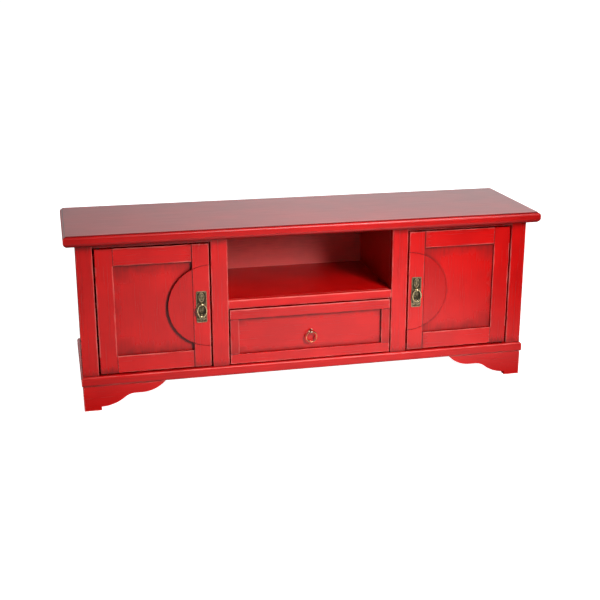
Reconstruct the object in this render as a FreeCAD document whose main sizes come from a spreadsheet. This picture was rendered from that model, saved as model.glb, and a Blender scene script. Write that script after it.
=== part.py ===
import FreeCAD, Part
import math
import operator
import os
from types import SimpleNamespace

import Sketcher
from FreeCAD import Rotation, Vector

# A low lacquered television stand: a cupboard with a half-moon door at each end, an open niche
# with a drawer under it in the middle, a moulded top and a base on bracket feet.
# The frame has +X to the right, +Z up and the front towards -Y, with its origin on the floor
# under the middle of the top.

# Driving dimensions in millimetres
DIMENSIONS = {
    # whole stand
    "overall_width": 1500,
    "overall_depth": 410,
    "overall_height": 560,
    # top board and its moulded edge
    "top_thickness": 34,
    "top_overhang_front": 36,
    "top_overhang_side": 33,
    "flat_inset": 8,
    "quirk_depth": 2.5,
    "quirk_width": 1.5,
    "ovolo_drop": 8.5,
    "ovolo_radius": 9,
    "nose_height": 12,
    "under_inset": 10,
    "under_radius": 22,
    # front frame
    "frame_thickness": 22,
    "post_width": 50,
    "inner_post_width": 52,
    "niche_width": 527,
    "post_ease": 2.5,
    "head_rail_height": 13,
    "head_rail_setback": 2,
    "shelf_rail_height": 27,
    "shelf_rail_thickness": 20,
    "shelf_rail_ease": 3,
    "niche_floor_height": 323,
    # boards of the case
    "board_thickness": 18,
    "side_recess": 14,
    "back_thickness": 6,
    "back_rebate": 9,
    # base
    "base_height": 111,
    "band_height": 29,
    "band_thickness": 30,
    "band_front_projection": 10,
    "band_side_projection": 4,
    "band_top_radius": 7,
    "band_bottom_radius": 3,
    "foot_thickness": 22,
    "foot_front_projection": 6,
    "toe_width": 52.5,
    "toe_step": 12,
    "lobe_rise": 36.5,
    "front_lobe_swell": 72,
    "front_lobe_hollow": 32.5,
    "front_saddle": 21,
    "front_crest_run": 74,
    "side_lobe_swell": 43,
    "side_lobe_hollow": 19,
    "side_saddle": 6,
    "side_crest_run": 40,
    "rear_foot_width": 80,
    "block_leg": 40,
    "block_floor_gap": 6,
    # doors
    "door_thickness": 20,
    "door_gap": 5,
    "door_top_gap": 4,
    "door_bottom_gap": 5,
    "door_stile_width": 53,
    "door_rail_width": 54,
    "frame_ease": 1.5,
    "panel_recess": 9,
    "panel_thickness": 6,
    "groove_depth": 8,
    "panel_float": 0.8,
    "moon_radius": 129.5,
    "moon_ease": 1.2,
    "scribe_width": 2.2,
    "scribe_depth": 2,
    # door pivots and catches
    "pivot_inset": 12,
    "pivot_setback": 9,
    "pin_diameter": 6,
    "pin_grip": 20,
    "pin_reach": 8,
    "pin_clearance": 0.05,
    "pin_collar_diameter": 10,
    "pin_end_float": 0.3,
    "bush_wall": 1.5,
    "bush_length": 10,
    "bush_flange_width": 2,
    "bush_flange_thickness": 1,
    "catch_length": 46,
    "catch_depth": 14,
    "catch_height": 13,
    "catch_flange": 3,
    "catch_ear": 8,
    "catch_edge_offset": 8,
    "strike_thickness": 1.2,
    "strike_height": 10,
    "strike_edge_offset": 1,
    "strike_gap": 0.3,
    # cupboard shelves
    "cupboard_shelf_height": 318,
    "cupboard_shelf_setback": 60,
    "cupboard_shelf_play": 0.5,
    "cleat_section": 18,
    # drawer
    "drawer_gap": 4,
    "drawer_bottom_gap": 3,
    "drawer_top_gap": 4.5,
    "drawer_rail_width": 31,
    "drawer_stile_width": 28,
    "drawer_side_gap": 5,
    "drawer_side_thickness": 14,
    "drawer_side_height": 124,
    "drawer_side_lift": 8,
    "drawer_length": 336,
    "drawer_bottom_thickness": 5,
    "drawer_bottom_lift": 8,
    "drawer_bottom_groove": 5,
    "runner_height": 18,
    "runner_lift": 60,
    "runner_groove": 7,
    "runner_play": 0.3,
    # door pulls
    "plate_width": 33,
    "plate_height": 100,
    "plate_thickness": 1.8,
    "plate_corner": 4,
    "plate_rim": 2.2,
    "plate_field_depth": 0.7,
    "plate_drop": 2.5,
    "cartouche_width": 17,
    "medallion_diameter": 22,
    "boss_height": 1.1,
    "boss_gap": 1.5,
    "pull_lift": 9,
    # ring pulls
    "wire_diameter": 4,
    "eye_clearance": 0.15,
    "ball_diameter": 9.5,
    "neck_diameter": 5,
    "pull_standoff": 8,
    "pull_foot_diameter": 9,
    "pull_foot_thickness": 1.5,
    "door_ring_width": 32,
    "door_ring_height": 42,
    "door_ring_end_radius": 12,
    "drawer_pull_standoff": 11,
    "rosette_diameter": 14,
    "rosette_thickness": 2,
    "drawer_ring_diameter": 38,
    "drop_length": 3.5,
}

OPERATIONS = {"+": operator.add, "-": operator.sub, "*": operator.mul, "/": operator.truediv}
LEFT = -1
RIGHT = 1
SIDES = {"left": LEFT, "right": RIGHT}
FRONT = 1
REAR = -1
NORMALS = {"XY_Plane": "z", "XZ_Plane": "y", "YZ_Plane": "x"}


class Size:
    """A length with its value and the sheet expression that it comes from."""

    def __init__(self, value, text):
        self.value = float(value)
        self.text = text

    def __add__(self, other):
        return combine(self, "+", other)

    def __sub__(self, other):
        return combine(self, "-", other)

    def __mul__(self, other):
        return combine(self, "*", other)

    def __rmul__(self, other):
        return combine(other, "*", self)

    def __truediv__(self, other):
        return combine(self, "/", other)

    def __neg__(self):
        return combine(-1, "*", self)


def as_size(item):
    """The item itself if it is a Size, or a plain number as one."""
    if isinstance(item, Size):
        return item
    return Size(item, repr(float(item)))


def combine(first, sign, second):
    """Two lengths joined by an arithmetic sign."""
    first = as_size(first)
    second = as_size(second)
    value = OPERATIONS[sign](first.value, second.value)
    return Size(value, f"({first.text} {sign} {second.text})")


def root(size):
    """The square root of a size."""
    return Size(math.sqrt(size.value), f"sqrt({size.text})")


def rise_radius(run, rise):
    """Radius of an arc that leaves level and climbs by rise over run."""
    return (run * run + rise * rise) / (rise * 2)


doc = FreeCAD.newDocument("tv_stand")
sheet = doc.addObject("Spreadsheet::Sheet", "Dims")
for row, (name, number) in enumerate(DIMENSIONS.items(), start=1):
    sheet.set(f"A{row}", name)
    sheet.set(f"B{row}", str(number))
    sheet.setAlias(f"B{row}", name)
doc.recompute()
d = SimpleNamespace(**{name: Size(number, f"Dims.{name}") for name, number in DIMENSIONS.items()})
ZERO = as_size(0)

# Lines and levels that several pieces share
half_width = d.overall_width / 2
nose_y = -d.overall_depth / 2
back_y = d.overall_depth / 2
face_y = nose_y + d.top_overhang_front
frame_back_y = face_y + d.frame_thickness
panel_back_y = back_y - d.back_thickness
post_out = half_width - d.top_overhang_side
post_in = post_out - d.post_width
inner_in = d.niche_width / 2
inner_out = inner_in + d.inner_post_width
side_out = post_out - d.side_recess
side_in = side_out - d.board_thickness
divider_out = inner_in + d.board_thickness
top_under = d.overall_height - d.top_thickness
head_under = top_under - d.head_rail_height
case_height = top_under - d.base_height
band_out = post_out + d.band_side_projection
band_front = face_y - d.band_front_projection
band_under = d.base_height - d.band_height
foot_front = face_y - d.foot_front_projection

# Lines and levels of the doors and the drawer front
door_bottom = d.base_height + d.door_bottom_gap
door_top = head_under - d.door_top_gap
door_height = door_top - door_bottom
door_middle = door_bottom + door_height / 2
door_hinge_edge = post_in - d.door_gap
door_free_edge = inner_out + d.door_gap
door_hinge_line = door_hinge_edge - d.door_stile_width
door_lock_line = door_free_edge + d.door_stile_width
door_back_y = face_y + d.door_thickness
groove_front = face_y + d.panel_recess
groove_back = groove_front + d.panel_thickness
pivot_x = door_hinge_edge - d.pivot_inset
pivot_y = face_y + d.pivot_setback
shelf_rail_under = d.niche_floor_height - d.shelf_rail_height
drawer_bottom = d.base_height + d.drawer_bottom_gap
drawer_top = shelf_rail_under - d.drawer_top_gap
drawer_half = inner_in - d.drawer_gap
drawer_panel_half = drawer_half - d.drawer_stile_width
drawer_side_bottom = drawer_bottom + d.drawer_side_lift
drawer_side_out = inner_in - d.drawer_side_gap
drawer_side_in = drawer_side_out - d.drawer_side_thickness
runner_bottom = drawer_side_bottom + d.runner_lift


def place(item, x, y, z):
    """Put an object at a point given by sizes."""
    for axis, size in zip("xyz", (x, y, z)):
        item.setExpression(f"Placement.Base.{axis}", as_size(size).text)


def block(label, low, spans):
    """A plain board from its lowest corner and its three spans."""
    board = doc.addObject("Part::Box", label)
    board.Label = label
    for name, span in zip(("Length", "Width", "Height"), spans):
        board.setExpression(name, as_size(span).text)
    place(board, *low)
    return board


def low_end(side, near, far):
    """The lower X of a span that runs from near to far on one side of the middle."""
    return near if side == RIGHT else -far


def group(label, members):
    """Like pieces that share one node."""
    gathered = doc.addObject("Part::Compound", label)
    gathered.Label = label
    gathered.Links = members
    return gathered


def sketch_on(body, plane, name, offset=None):
    """A sketch on one of a body's own origin planes, moved along that plane's normal by offset."""
    sketch = body.newObject("Sketcher::SketchObject", name)
    support = next(item for item in body.Origin.OriginFeatures if item.Role == plane)
    sketch.AttachmentSupport = [(support, "")]
    sketch.MapMode = "FlatFace"
    if offset is not None:
        sketch.setExpression("AttachmentOffset.Base.z", as_size(offset).text)
    return sketch


def fix(sketch, kind, geometry, end, size):
    """Hold a point of a sketch at a distance from its origin."""
    size = as_size(size)
    number = sketch.addConstraint(Sketcher.Constraint(kind, -1, 1, geometry, end, size.value))
    sketch.setExpression(f"Constraints[{number}]", size.text)


def fix_radius(sketch, geometry, size):
    """Hold the radius of an arc or a circle."""
    size = as_size(size)
    number = sketch.addConstraint(Sketcher.Constraint("Radius", geometry, size.value))
    sketch.setExpression(f"Constraints[{number}]", size.text)


def arc_between(first, last, radius, hint):
    """An arc between two points, and whether it runs backwards, with its centre on the hint's side."""
    middle = (first + last) * 0.5
    chord = last - first
    across = Vector(-chord.y, chord.x, 0).normalize()
    reach = math.sqrt(max(radius ** 2 - (chord.Length / 2) ** 2, 0))
    if across.dot(hint - middle) < 0:
        reach = -reach
    centre = middle + across * reach
    begin = math.atan2(first.y - centre.y, first.x - centre.x)
    finish = math.atan2(last.y - centre.y, last.x - centre.x)
    backwards = (finish - begin) % (2 * math.pi) > math.pi
    if backwards:
        begin, finish = finish, begin
    circle = Part.Circle(centre, Vector(0, 0, 1), radius)
    return Part.ArcOfCircle(circle, begin, finish), backwards


def outline(sketch, corners):
    """A closed outline. A corner is (x, y), or (x, y, radius, hint) where an arc leads to the next."""
    points = [Vector(as_size(corner[0]).value, as_size(corner[1]).value, 0) for corner in corners]
    ends = []
    for index, corner in enumerate(corners):
        first = points[index]
        last = points[(index + 1) % len(points)]
        backwards = False
        if len(corner) == 2:
            shape = Part.LineSegment(first, last)
        else:
            hint = Vector(*[as_size(item).value for item in corner[3]], 0)
            shape, backwards = arc_between(first, last, corner[2].value, hint)
        geometry = sketch.addGeometry(shape, False)
        ends.append((geometry, 2, 1) if backwards else (geometry, 1, 2))
    for index, corner in enumerate(corners):
        geometry, start, finish = ends[index]
        following, following_start, _ = ends[(index + 1) % len(ends)]
        sketch.addConstraint(Sketcher.Constraint("Coincident", geometry, finish, following, following_start))
        fix(sketch, "DistanceX", geometry, start, corner[0])
        fix(sketch, "DistanceY", geometry, start, corner[1])
        if len(corner) > 2:
            fix_radius(sketch, geometry, corner[2])


def circle(sketch, x, y, radius):
    """A full circle in a sketch."""
    centre = Vector(as_size(x).value, as_size(y).value, 0)
    geometry = sketch.addGeometry(Part.Circle(centre, Vector(0, 0, 1), radius.value), False)
    fix(sketch, "DistanceX", geometry, 3, x)
    fix(sketch, "DistanceY", geometry, 3, y)
    fix_radius(sketch, geometry, radius)


def new_body(label):
    """An empty body that carries a piece's name."""
    body = doc.addObject("PartDesign::Body", label)
    body.Label = label
    return body


def pad(body, plane, corners, length, offset=None):
    """Material of a closed outline, towards the plane's positive row axis."""
    sketch = sketch_on(body, plane, f"{body.Name}_section", offset)
    outline(sketch, corners)
    feature = body.newObject("PartDesign::Pad", f"{body.Name}_pad")
    feature.Profile = sketch
    feature.setExpression("Length", as_size(length).text)
    feature.Reversed = plane == "XZ_Plane"
    return feature


def bar(label, plane, corners, start, length):
    """A piece of one section, from start along the plane's normal."""
    body = new_body(label)
    pad(body, plane, corners, length)
    axis = NORMALS[plane]
    place(body, *[start if name == axis else 0 for name in "xyz"])
    return body


def cut(body, plane, draw, depth=None, offset=None, reverse=False):
    """A pocket whose sketch is filled by draw: to a depth, or right through both ways."""
    sketch = sketch_on(body, plane, f"{body.Name}_cut", offset)
    draw(sketch)
    doc.recompute()
    before = body.Shape.Volume
    pocket = body.newObject("PartDesign::Pocket", f"{body.Name}_pocket")
    pocket.Profile = sketch
    if depth is None:
        pocket.Type = "ThroughAll"
        pocket.SideType = "Symmetric"
    else:
        pocket.setExpression("Length", as_size(depth).text)
        pocket.Reversed = reverse
    doc.recompute()
    if body.Shape.Volume >= before:
        raise RuntimeError(f"a cut in {body.Label} removed nothing")
    return pocket


def turned(label, plane, corners, axis):
    """A solid of revolution about one of its sketch's own axes."""
    body = new_body(label)
    sketch = sketch_on(body, plane, f"{label}_section")
    outline(sketch, corners)
    feature = body.newObject("PartDesign::Revolution", f"{label}_turning")
    feature.Profile = sketch
    feature.ReferenceAxis = (sketch, [axis])
    feature.Angle = 360
    return body


def eased_front(low, high, front, back, ease):
    """A rectangle whose two front corners, at the lower second coordinate, are rounded."""
    inward = 1 if high.value > low.value else -1
    step = ease * inward
    return [
        (low, back),
        (high, back),
        (high, front + ease, ease, (high - step, front + ease)),
        (high - step, front),
        (low + step, front, ease, (low + step, front + ease)),
        (low, front + ease),
    ]


def turned_over(corners):
    """The same outline with its two coordinates exchanged."""
    return [corner[1::-1] + ((corner[2], corner[3][::-1]) if len(corner) > 2 else ()) for corner in corners]


def grooved(outer, inner, ease):
    """Section of a frame member, with eased front corners and a panel groove in its inner edge."""
    inward = 1 if inner.value > outer.value else -1
    step = ease * inward
    bed = inner - d.groove_depth * inward
    return [
        (outer, door_back_y),
        (inner, door_back_y),
        (inner, groove_back),
        (bed, groove_back),
        (bed, groove_front),
        (inner, groove_front),
        (inner, face_y + ease, ease, (inner - step, face_y + ease)),
        (inner - step, face_y),
        (outer + step, face_y, ease, (outer + step, face_y + ease)),
        (outer, face_y + ease),
    ]


def upright(label, outer, inner, bottom, height, tongued=False):
    """A frame member that stands, with or without tongues at its ends."""
    body = bar(label, "XY_Plane", grooved(outer, inner, d.frame_ease), bottom, height)
    if tongued:
        bed = inner - d.groove_depth * (1 if inner.value > outer.value else -1)
        tongue = [(outer, groove_front), (bed, groove_front), (bed, groove_back), (outer, groove_back)]
        pad(body, "XY_Plane", tongue, height + d.groove_depth * 2, -d.groove_depth)
    return body


def crosspiece(label, outer, inner, start, length, tongued=False):
    """A frame member that lies, with or without tongues at its ends."""
    body = bar(label, "YZ_Plane", turned_over(grooved(outer, inner, d.frame_ease)), start, length)
    if tongued:
        bed = inner - d.groove_depth * (1 if inner.value > outer.value else -1)
        tongue = [(groove_front, outer), (groove_front, bed), (groove_back, bed), (groove_back, outer)]
        pad(body, "YZ_Plane", tongue, length + d.groove_depth * 2, -d.groove_depth)
    return body


def framed_panel(label, low_x, high_x, low_z, high_z):
    """A flat panel that stands in the grooves round an opening."""
    hold = d.groove_depth - d.panel_float
    low = (low_x - hold, groove_front, low_z - hold)
    return block(label, low, (high_x - low_x + hold * 2, d.panel_thickness, high_z - low_z + hold * 2))


def moulded_edge(nose, inward):
    """The top's edge from its flat down to its underside, for a nose at the given coordinate."""
    quirk = d.overall_height - d.quirk_depth
    widest = quirk - d.ovolo_drop
    flat = nose + d.flat_inset * inward
    ledge = flat - d.quirk_width * inward
    under = nose + d.under_inset * inward
    return [
        (flat, d.overall_height),
        (flat, quirk),
        (ledge, quirk, d.ovolo_radius, (ledge, widest)),
        (nose, widest),
        (nose, widest - d.nose_height, d.under_radius, (under, widest)),
        (under, top_under),
    ]


def make_top():
    """The top board: its front section and its end section, each carried right across, have it in common."""
    front = moulded_edge(nose_y, 1)
    across = bar("top_front_section", "YZ_Plane", front + [(back_y, top_under), (back_y, d.overall_height)],
                 -half_width, d.overall_width)
    right_end = moulded_edge(half_width, -1)
    left_end = moulded_edge(-half_width, 1)
    along = bar("top_end_section", "XZ_Plane", joined_ends(left_end, right_end), nose_y, d.overall_depth)
    top = doc.addObject("Part::Common", "top_board")
    top.Label = "top_board"
    top.Base = across
    top.Tool = along
    return [top]


def joined_ends(left_end, right_end):
    """One outline from a left edge that runs down and a right edge that runs up again."""
    upward = []
    for index in range(len(right_end) - 1, -1, -1):
        corner = right_end[index][:2]
        curved = right_end[index - 1] if index else ()
        upward.append(corner + curved[2:])
    return left_end + upward


def make_posts():
    """The four posts of the front frame."""
    posts = []
    for name, side in SIDES.items():
        outer = eased_front(side * post_in, side * post_out, face_y, frame_back_y, d.post_ease)
        inner = eased_front(side * inner_in, side * inner_out, face_y, frame_back_y, d.post_ease)
        posts.append(bar(f"{name}_front_post", "XY_Plane", outer, d.base_height, case_height))
        posts.append(bar(f"{name}_inner_post", "XY_Plane", inner, d.base_height, case_height))
    return posts


def make_case():
    """Side panels with a rebate for the back, dividers, bottom board, back panel and niche floor."""
    pieces = []
    for name, side in SIDES.items():
        rebate = side * (side_in + d.back_rebate)
        section = [
            (side * side_out, frame_back_y),
            (side * side_out, back_y),
            (rebate, back_y),
            (rebate, panel_back_y),
            (side * side_in, panel_back_y),
            (side * side_in, frame_back_y),
        ]
        pieces.append(bar(f"{name}_side_panel", "XY_Plane", section, d.base_height, case_height))
        pieces.append(block(f"{name}_divider",
                            (low_end(side, inner_in, divider_out), frame_back_y, d.base_height),
                            (d.board_thickness, panel_back_y - frame_back_y, case_height)))
    floor_half = band_out - d.band_thickness
    floor_front = band_front + d.band_thickness
    pieces.append(block("bottom_board", (-floor_half, floor_front, d.base_height - d.board_thickness),
                        (floor_half * 2, back_y - d.band_thickness - floor_front, d.board_thickness)))
    back_half = side_in + d.back_rebate
    pieces.append(block("back_panel", (-back_half, panel_back_y, d.base_height),
                        (back_half * 2, d.back_thickness, case_height)))
    shelf_front = face_y + d.shelf_rail_thickness
    pieces.append(block("niche_shelf", (-inner_in, shelf_front, d.niche_floor_height - d.board_thickness),
                        (d.niche_width, panel_back_y - shelf_front, d.board_thickness)))
    return pieces


def make_front_rails():
    """The rail along the niche floor, and the head rail over each door with its pivot hole."""
    shelf_section = turned_over(eased_front(shelf_rail_under, d.niche_floor_height, face_y,
                                            face_y + d.shelf_rail_thickness, d.shelf_rail_ease))
    shelf_rail = bar("shelf_rail", "YZ_Plane", shelf_section, -inner_in, d.niche_width)
    head_front = face_y + d.head_rail_setback
    head_section = turned_over(eased_front(head_under, top_under, head_front, frame_back_y, d.frame_ease))
    bush_radius = d.pin_diameter / 2 + d.pin_clearance + d.bush_wall
    heads = []
    for name, side in SIDES.items():
        start = low_end(side, inner_out, post_in)
        head = bar(f"{name}_head_rail", "YZ_Plane", head_section, start, post_in - inner_out)
        cut(head, "XY_Plane", lambda sketch: circle(sketch, side * pivot_x - start, pivot_y, bush_radius),
            d.bush_length, head_under, True)
        heads.append(head)
    return [shelf_rail, group("head_rails", heads)]


def make_base():
    """The base band: front and sides mitred at the corners, and a plain rail at the back."""
    top_line = d.base_height
    bush_radius = d.pin_diameter / 2 + d.pin_clearance + d.bush_wall

    def section(outer, inward):
        inner = outer + d.band_thickness * inward
        top_step = d.band_top_radius * inward
        bottom_step = d.band_bottom_radius * inward
        return [
            (inner, top_line),
            (outer + top_step, top_line, d.band_top_radius, (outer + top_step, top_line - d.band_top_radius)),
            (outer, top_line - d.band_top_radius),
            (outer, band_under + d.band_bottom_radius, d.band_bottom_radius,
             (outer + bottom_step, band_under + d.band_bottom_radius)),
            (outer + bottom_step, band_under),
            (inner, band_under),
        ]

    front_length = band_out * 2
    inner_y = band_front + d.band_thickness
    front = bar("base_front_band", "YZ_Plane", section(band_front, 1), -band_out, front_length)
    for end, inner_end in ((ZERO, d.band_thickness), (front_length, front_length - d.band_thickness)):
        corner = [(end, band_front), (end, inner_y), (inner_end, inner_y)]
        cut(front, "XY_Plane", lambda sketch: outline(sketch, corner))
    for side in SIDES.values():
        cut(front, "XY_Plane", lambda sketch: circle(sketch, side * pivot_x + band_out, pivot_y, bush_radius),
            d.bush_length, top_line)
    pieces = [front]
    for name, side in SIDES.items():
        outer = side * band_out
        inner = side * (band_out - d.band_thickness)
        band = bar(f"base_{name}_band", "XZ_Plane", section(outer, -side), band_front, back_y - band_front)
        corner = [(outer, ZERO), (inner, ZERO), (inner, d.band_thickness)]
        cut(band, "XY_Plane", lambda sketch: outline(sketch, corner))
        pieces.append(band)
    rail_half = band_out - d.band_thickness
    pieces.append(block("base_back_rail", (-rail_half, back_y - d.band_thickness, band_under),
                        (rail_half * 2, d.band_thickness, d.band_height)))
    return pieces


def ogee(swell, hollow, saddle, crest_run):
    """Lower edge of a bracket from its outer corner: toe, step, S-shaped lobe, saddle and crest."""
    swell_rise = d.lobe_rise * swell / (swell + hollow)
    turn_x = d.toe_width + swell
    turn_z = d.toe_step + swell_rise
    lobe_end = turn_x + hollow
    saddle_z = d.toe_step + d.lobe_rise
    lobe_radius = rise_radius(swell, swell_rise)
    hollow_radius = rise_radius(hollow, d.lobe_rise - swell_rise)
    crest_start = lobe_end + saddle
    crest_radius = rise_radius(crest_run, band_under - saddle_z)
    return [
        (ZERO, ZERO),
        (d.toe_width, ZERO),
        (d.toe_width, d.toe_step, lobe_radius, (d.toe_width, d.toe_step + lobe_radius)),
        (turn_x, turn_z, hollow_radius, (lobe_end, saddle_z - hollow_radius)),
        (lobe_end, saddle_z),
        (crest_start, saddle_z, crest_radius, (crest_start, saddle_z + crest_radius)),
        (crest_start + crest_run, band_under),
        (ZERO, band_under),
    ]


def laid_from(corners, edge, inward):
    """An outline drawn from an outer edge, laid along the row from that edge."""
    laid = []
    for corner in corners:
        moved = (edge + corner[0] * inward, corner[1])
        if len(corner) > 2:
            moved += (corner[2], (edge + corner[3][0] * inward, corner[3][1]))
        laid.append(moved)
    return laid


def make_feet():
    """Bracket feet: an ogee board on the front and on each side, mitred at the front corners."""
    front_curve = ogee(d.front_lobe_swell, d.front_lobe_hollow, d.front_saddle, d.front_crest_run)
    side_curve = ogee(d.side_lobe_swell, d.side_lobe_hollow, d.side_saddle, d.side_crest_run)
    thickness = d.foot_thickness
    inner_x = post_out - thickness
    inner_y = foot_front + thickness
    pieces = []
    rear_boards = []
    blocks = []
    for name, side in SIDES.items():
        bracket = bar(f"{name}_front_foot", "XZ_Plane", laid_from(front_curve, side * post_out, -side),
                      foot_front, thickness)
        mitre = [(side * post_out, ZERO), (side * post_out, thickness), (side * inner_x, thickness)]
        cut(bracket, "XY_Plane", lambda sketch: outline(sketch, mitre))
        pieces.append(bracket)

        start = low_end(side, inner_x, post_out)
        outer_end = side * post_out - start
        inner_end = side * inner_x - start
        near = bar(f"{name}_side_front_bracket", "YZ_Plane", laid_from(side_curve, foot_front, FRONT),
                   start, thickness)
        corner = [(outer_end, foot_front), (inner_end, foot_front), (inner_end, inner_y)]
        cut(near, "XY_Plane", lambda sketch: outline(sketch, corner))
        far = bar(f"{name}_side_rear_bracket", "YZ_Plane", laid_from(side_curve, back_y, REAR),
                  start, thickness)
        pieces.append(group(f"{name}_side_brackets", [near, far]))

        rear_start = low_end(side, inner_x - d.rear_foot_width, inner_x)
        rear_boards.append(block(f"{name}_rear_foot", (rear_start, back_y - thickness, 0),
                                 (d.rear_foot_width, thickness, band_under)))
        for end, corner_y, inward in (("front", inner_y, FRONT), ("rear", back_y - thickness, REAR)):
            triangle = [
                (side * inner_x, corner_y),
                (side * (inner_x - d.block_leg), corner_y),
                (side * inner_x, corner_y + d.block_leg * inward),
            ]
            blocks.append(bar(f"{name}_{end}_corner_block", "XY_Plane", triangle, d.block_floor_gap,
                              band_under - d.block_floor_gap))
    return pieces + [group("rear_feet", rear_boards), group("corner_blocks", blocks)]


def make_cupboards():
    """A shelf on two cleats in each cupboard, and the catch on its floor."""
    shelves = []
    cleats = []
    catches = []
    front = frame_back_y + d.cupboard_shelf_setback
    depth = panel_back_y - front
    shelf_under = d.cupboard_shelf_height - d.board_thickness
    near = divider_out + d.cupboard_shelf_play
    far = side_in - d.cupboard_shelf_play
    ear = d.catch_ear
    end = d.catch_length - ear
    catch_outline = [
        (ZERO, ZERO),
        (d.catch_length, ZERO),
        (d.catch_length, d.catch_flange),
        (end, d.catch_flange),
        (end, d.catch_height),
        (ear, d.catch_height),
        (ear, d.catch_flange),
        (ZERO, d.catch_flange),
    ]
    catch_near = door_free_edge + d.catch_edge_offset
    catch_front = door_back_y + d.strike_thickness + d.strike_gap
    for name, side in SIDES.items():
        shelves.append(block(f"{name}_cupboard_shelf", (low_end(side, near, far), front, shelf_under),
                             (far - near, depth, d.board_thickness)))
        for edge, low, high in (("inner", divider_out, divider_out + d.cleat_section),
                                ("outer", side_in - d.cleat_section, side_in)):
            cleats.append(block(f"{name}_{edge}_cleat",
                                (low_end(side, low, high), front, shelf_under - d.cleat_section),
                                (d.cleat_section, depth, d.cleat_section)))
        catch = bar(f"{name}_catch", "XZ_Plane", catch_outline, catch_front, d.catch_depth)
        place(catch, low_end(side, catch_near, catch_near + d.catch_length), catch_front, d.base_height)
        catches.append(catch)
    return [group("cupboard_shelves", shelves), group("shelf_cleats", cleats), group("door_catches", catches)]


def make_bushes():
    """The flanged bushes that the door pivots turn in."""
    bore = d.pin_diameter / 2 + d.pin_clearance
    sleeve = bore + d.bush_wall
    flange = sleeve + d.bush_flange_width
    bushes = []
    for name, side in SIDES.items():
        for end, level, upward in (("lower", d.base_height, -1), ("upper", head_under, 1)):
            section = [
                (bore, -upward * d.bush_flange_thickness),
                (flange, -upward * d.bush_flange_thickness),
                (flange, ZERO),
                (sleeve, ZERO),
                (sleeve, upward * d.bush_length),
                (bore, upward * d.bush_length),
            ]
            bush = turned(f"{name}_{end}_bush", "XZ_Plane", section, "V_Axis")
            place(bush, side * pivot_x, pivot_y, level)
            bushes.append(bush)
    return [group("pivot_bushes", bushes)]


def make_pins(name, side):
    """The two pivot pins of a door: the lower one has a collar that carries the door."""
    radius = d.pin_diameter / 2
    collar = d.pin_collar_diameter / 2
    collar_under = d.bush_flange_thickness + d.pin_end_float - d.door_bottom_gap
    lower = [
        (ZERO, d.pin_grip),
        (radius, d.pin_grip),
        (radius, ZERO),
        (collar, ZERO),
        (collar, collar_under),
        (radius, collar_under),
        (radius, -d.door_bottom_gap - d.pin_reach),
        (ZERO, -d.door_bottom_gap - d.pin_reach),
    ]
    upper_end = d.door_top_gap + d.pin_reach
    upper = [(ZERO, -d.pin_grip), (radius, -d.pin_grip), (radius, upper_end), (ZERO, upper_end)]
    pins = []
    for end, section, level in (("lower", lower, door_bottom), ("upper", upper, door_top)):
        pin = turned(f"{name}_{end}_pin", "XZ_Plane", section, "V_Axis")
        place(pin, side * pivot_x, pivot_y, level)
        pins.append(pin)
    return group(f"{name}_pivot_pins", pins)


def make_half_moon(name, side):
    """The raised half-moon: the part of a circle about the door's free edge that lies past the lock stile."""
    half_chord = root(d.moon_radius * d.moon_radius - d.door_stile_width * d.door_stile_width)
    chord_x = side * door_lock_line
    centre = (side * door_free_edge, door_middle)
    corners = [
        (chord_x, door_middle - half_chord, d.moon_radius, centre),
        (chord_x, door_middle + half_chord),
    ]
    moon = bar(f"{name}_half_moon", "XZ_Plane", corners, face_y, d.panel_recess)
    doc.recompute()
    solid = moon.Tip
    front_edges = []
    for number, edge in enumerate(solid.Shape.Edges, start=1):
        if edge.BoundBox.YMax < d.panel_recess.value / 2 and isinstance(edge.Curve, Part.Circle):
            front_edges.append(f"Edge{number}")
    ease = moon.newObject("PartDesign::Fillet", f"{name}_half_moon_ease")
    ease.Base = (solid, front_edges)
    ease.setExpression("Radius", d.moon_ease.text)
    return moon


def make_door(name, side):
    """A framed door: stiles right up, rails between them, panel, half-moon, pivots and strike plate."""
    hinge = upright(f"{name}_hinge_stile", side * door_hinge_edge, side * door_hinge_line,
                    door_bottom, door_height)
    pin_radius = d.pin_diameter / 2

    def pivot_hole(sketch):
        circle(sketch, side * pivot_x, pivot_y, pin_radius)

    cut(hinge, "XY_Plane", pivot_hole, d.pin_grip, ZERO, True)
    cut(hinge, "XY_Plane", pivot_hole, d.pin_grip, door_height)

    lock = upright(f"{name}_lock_stile", side * door_free_edge, side * door_lock_line,
                   door_bottom, door_height)

    def scribed_ring(sketch):
        for offset in (-1, 1):
            circle(sketch, side * door_free_edge, door_height / 2, d.moon_radius + d.scribe_width / 2 * offset)

    cut(lock, "XZ_Plane", scribed_ring, d.scribe_depth, -face_y)

    opening = door_hinge_line - door_lock_line
    start = low_end(side, door_lock_line, door_hinge_line)
    rail_top = door_top - d.door_rail_width
    rail_bottom = door_bottom + d.door_rail_width
    top_rail = crosspiece(f"{name}_door_top_rail", door_top, rail_top, start, opening, True)
    bottom_rail = crosspiece(f"{name}_door_bottom_rail", door_bottom, rail_bottom, start, opening, True)
    panel = framed_panel(f"{name}_door_panel", start, start + opening, rail_bottom, rail_top)
    strike_near = door_free_edge + d.catch_edge_offset
    strike = block(f"{name}_strike_plate",
                   (low_end(side, strike_near, strike_near + d.catch_length), door_back_y,
                    door_bottom + d.strike_edge_offset),
                   (d.catch_length, d.strike_thickness, d.strike_height))
    moon = make_half_moon(name, side)
    return [hinge, lock, top_rail, bottom_rail, panel, moon, make_pins(name, side), strike]


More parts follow.
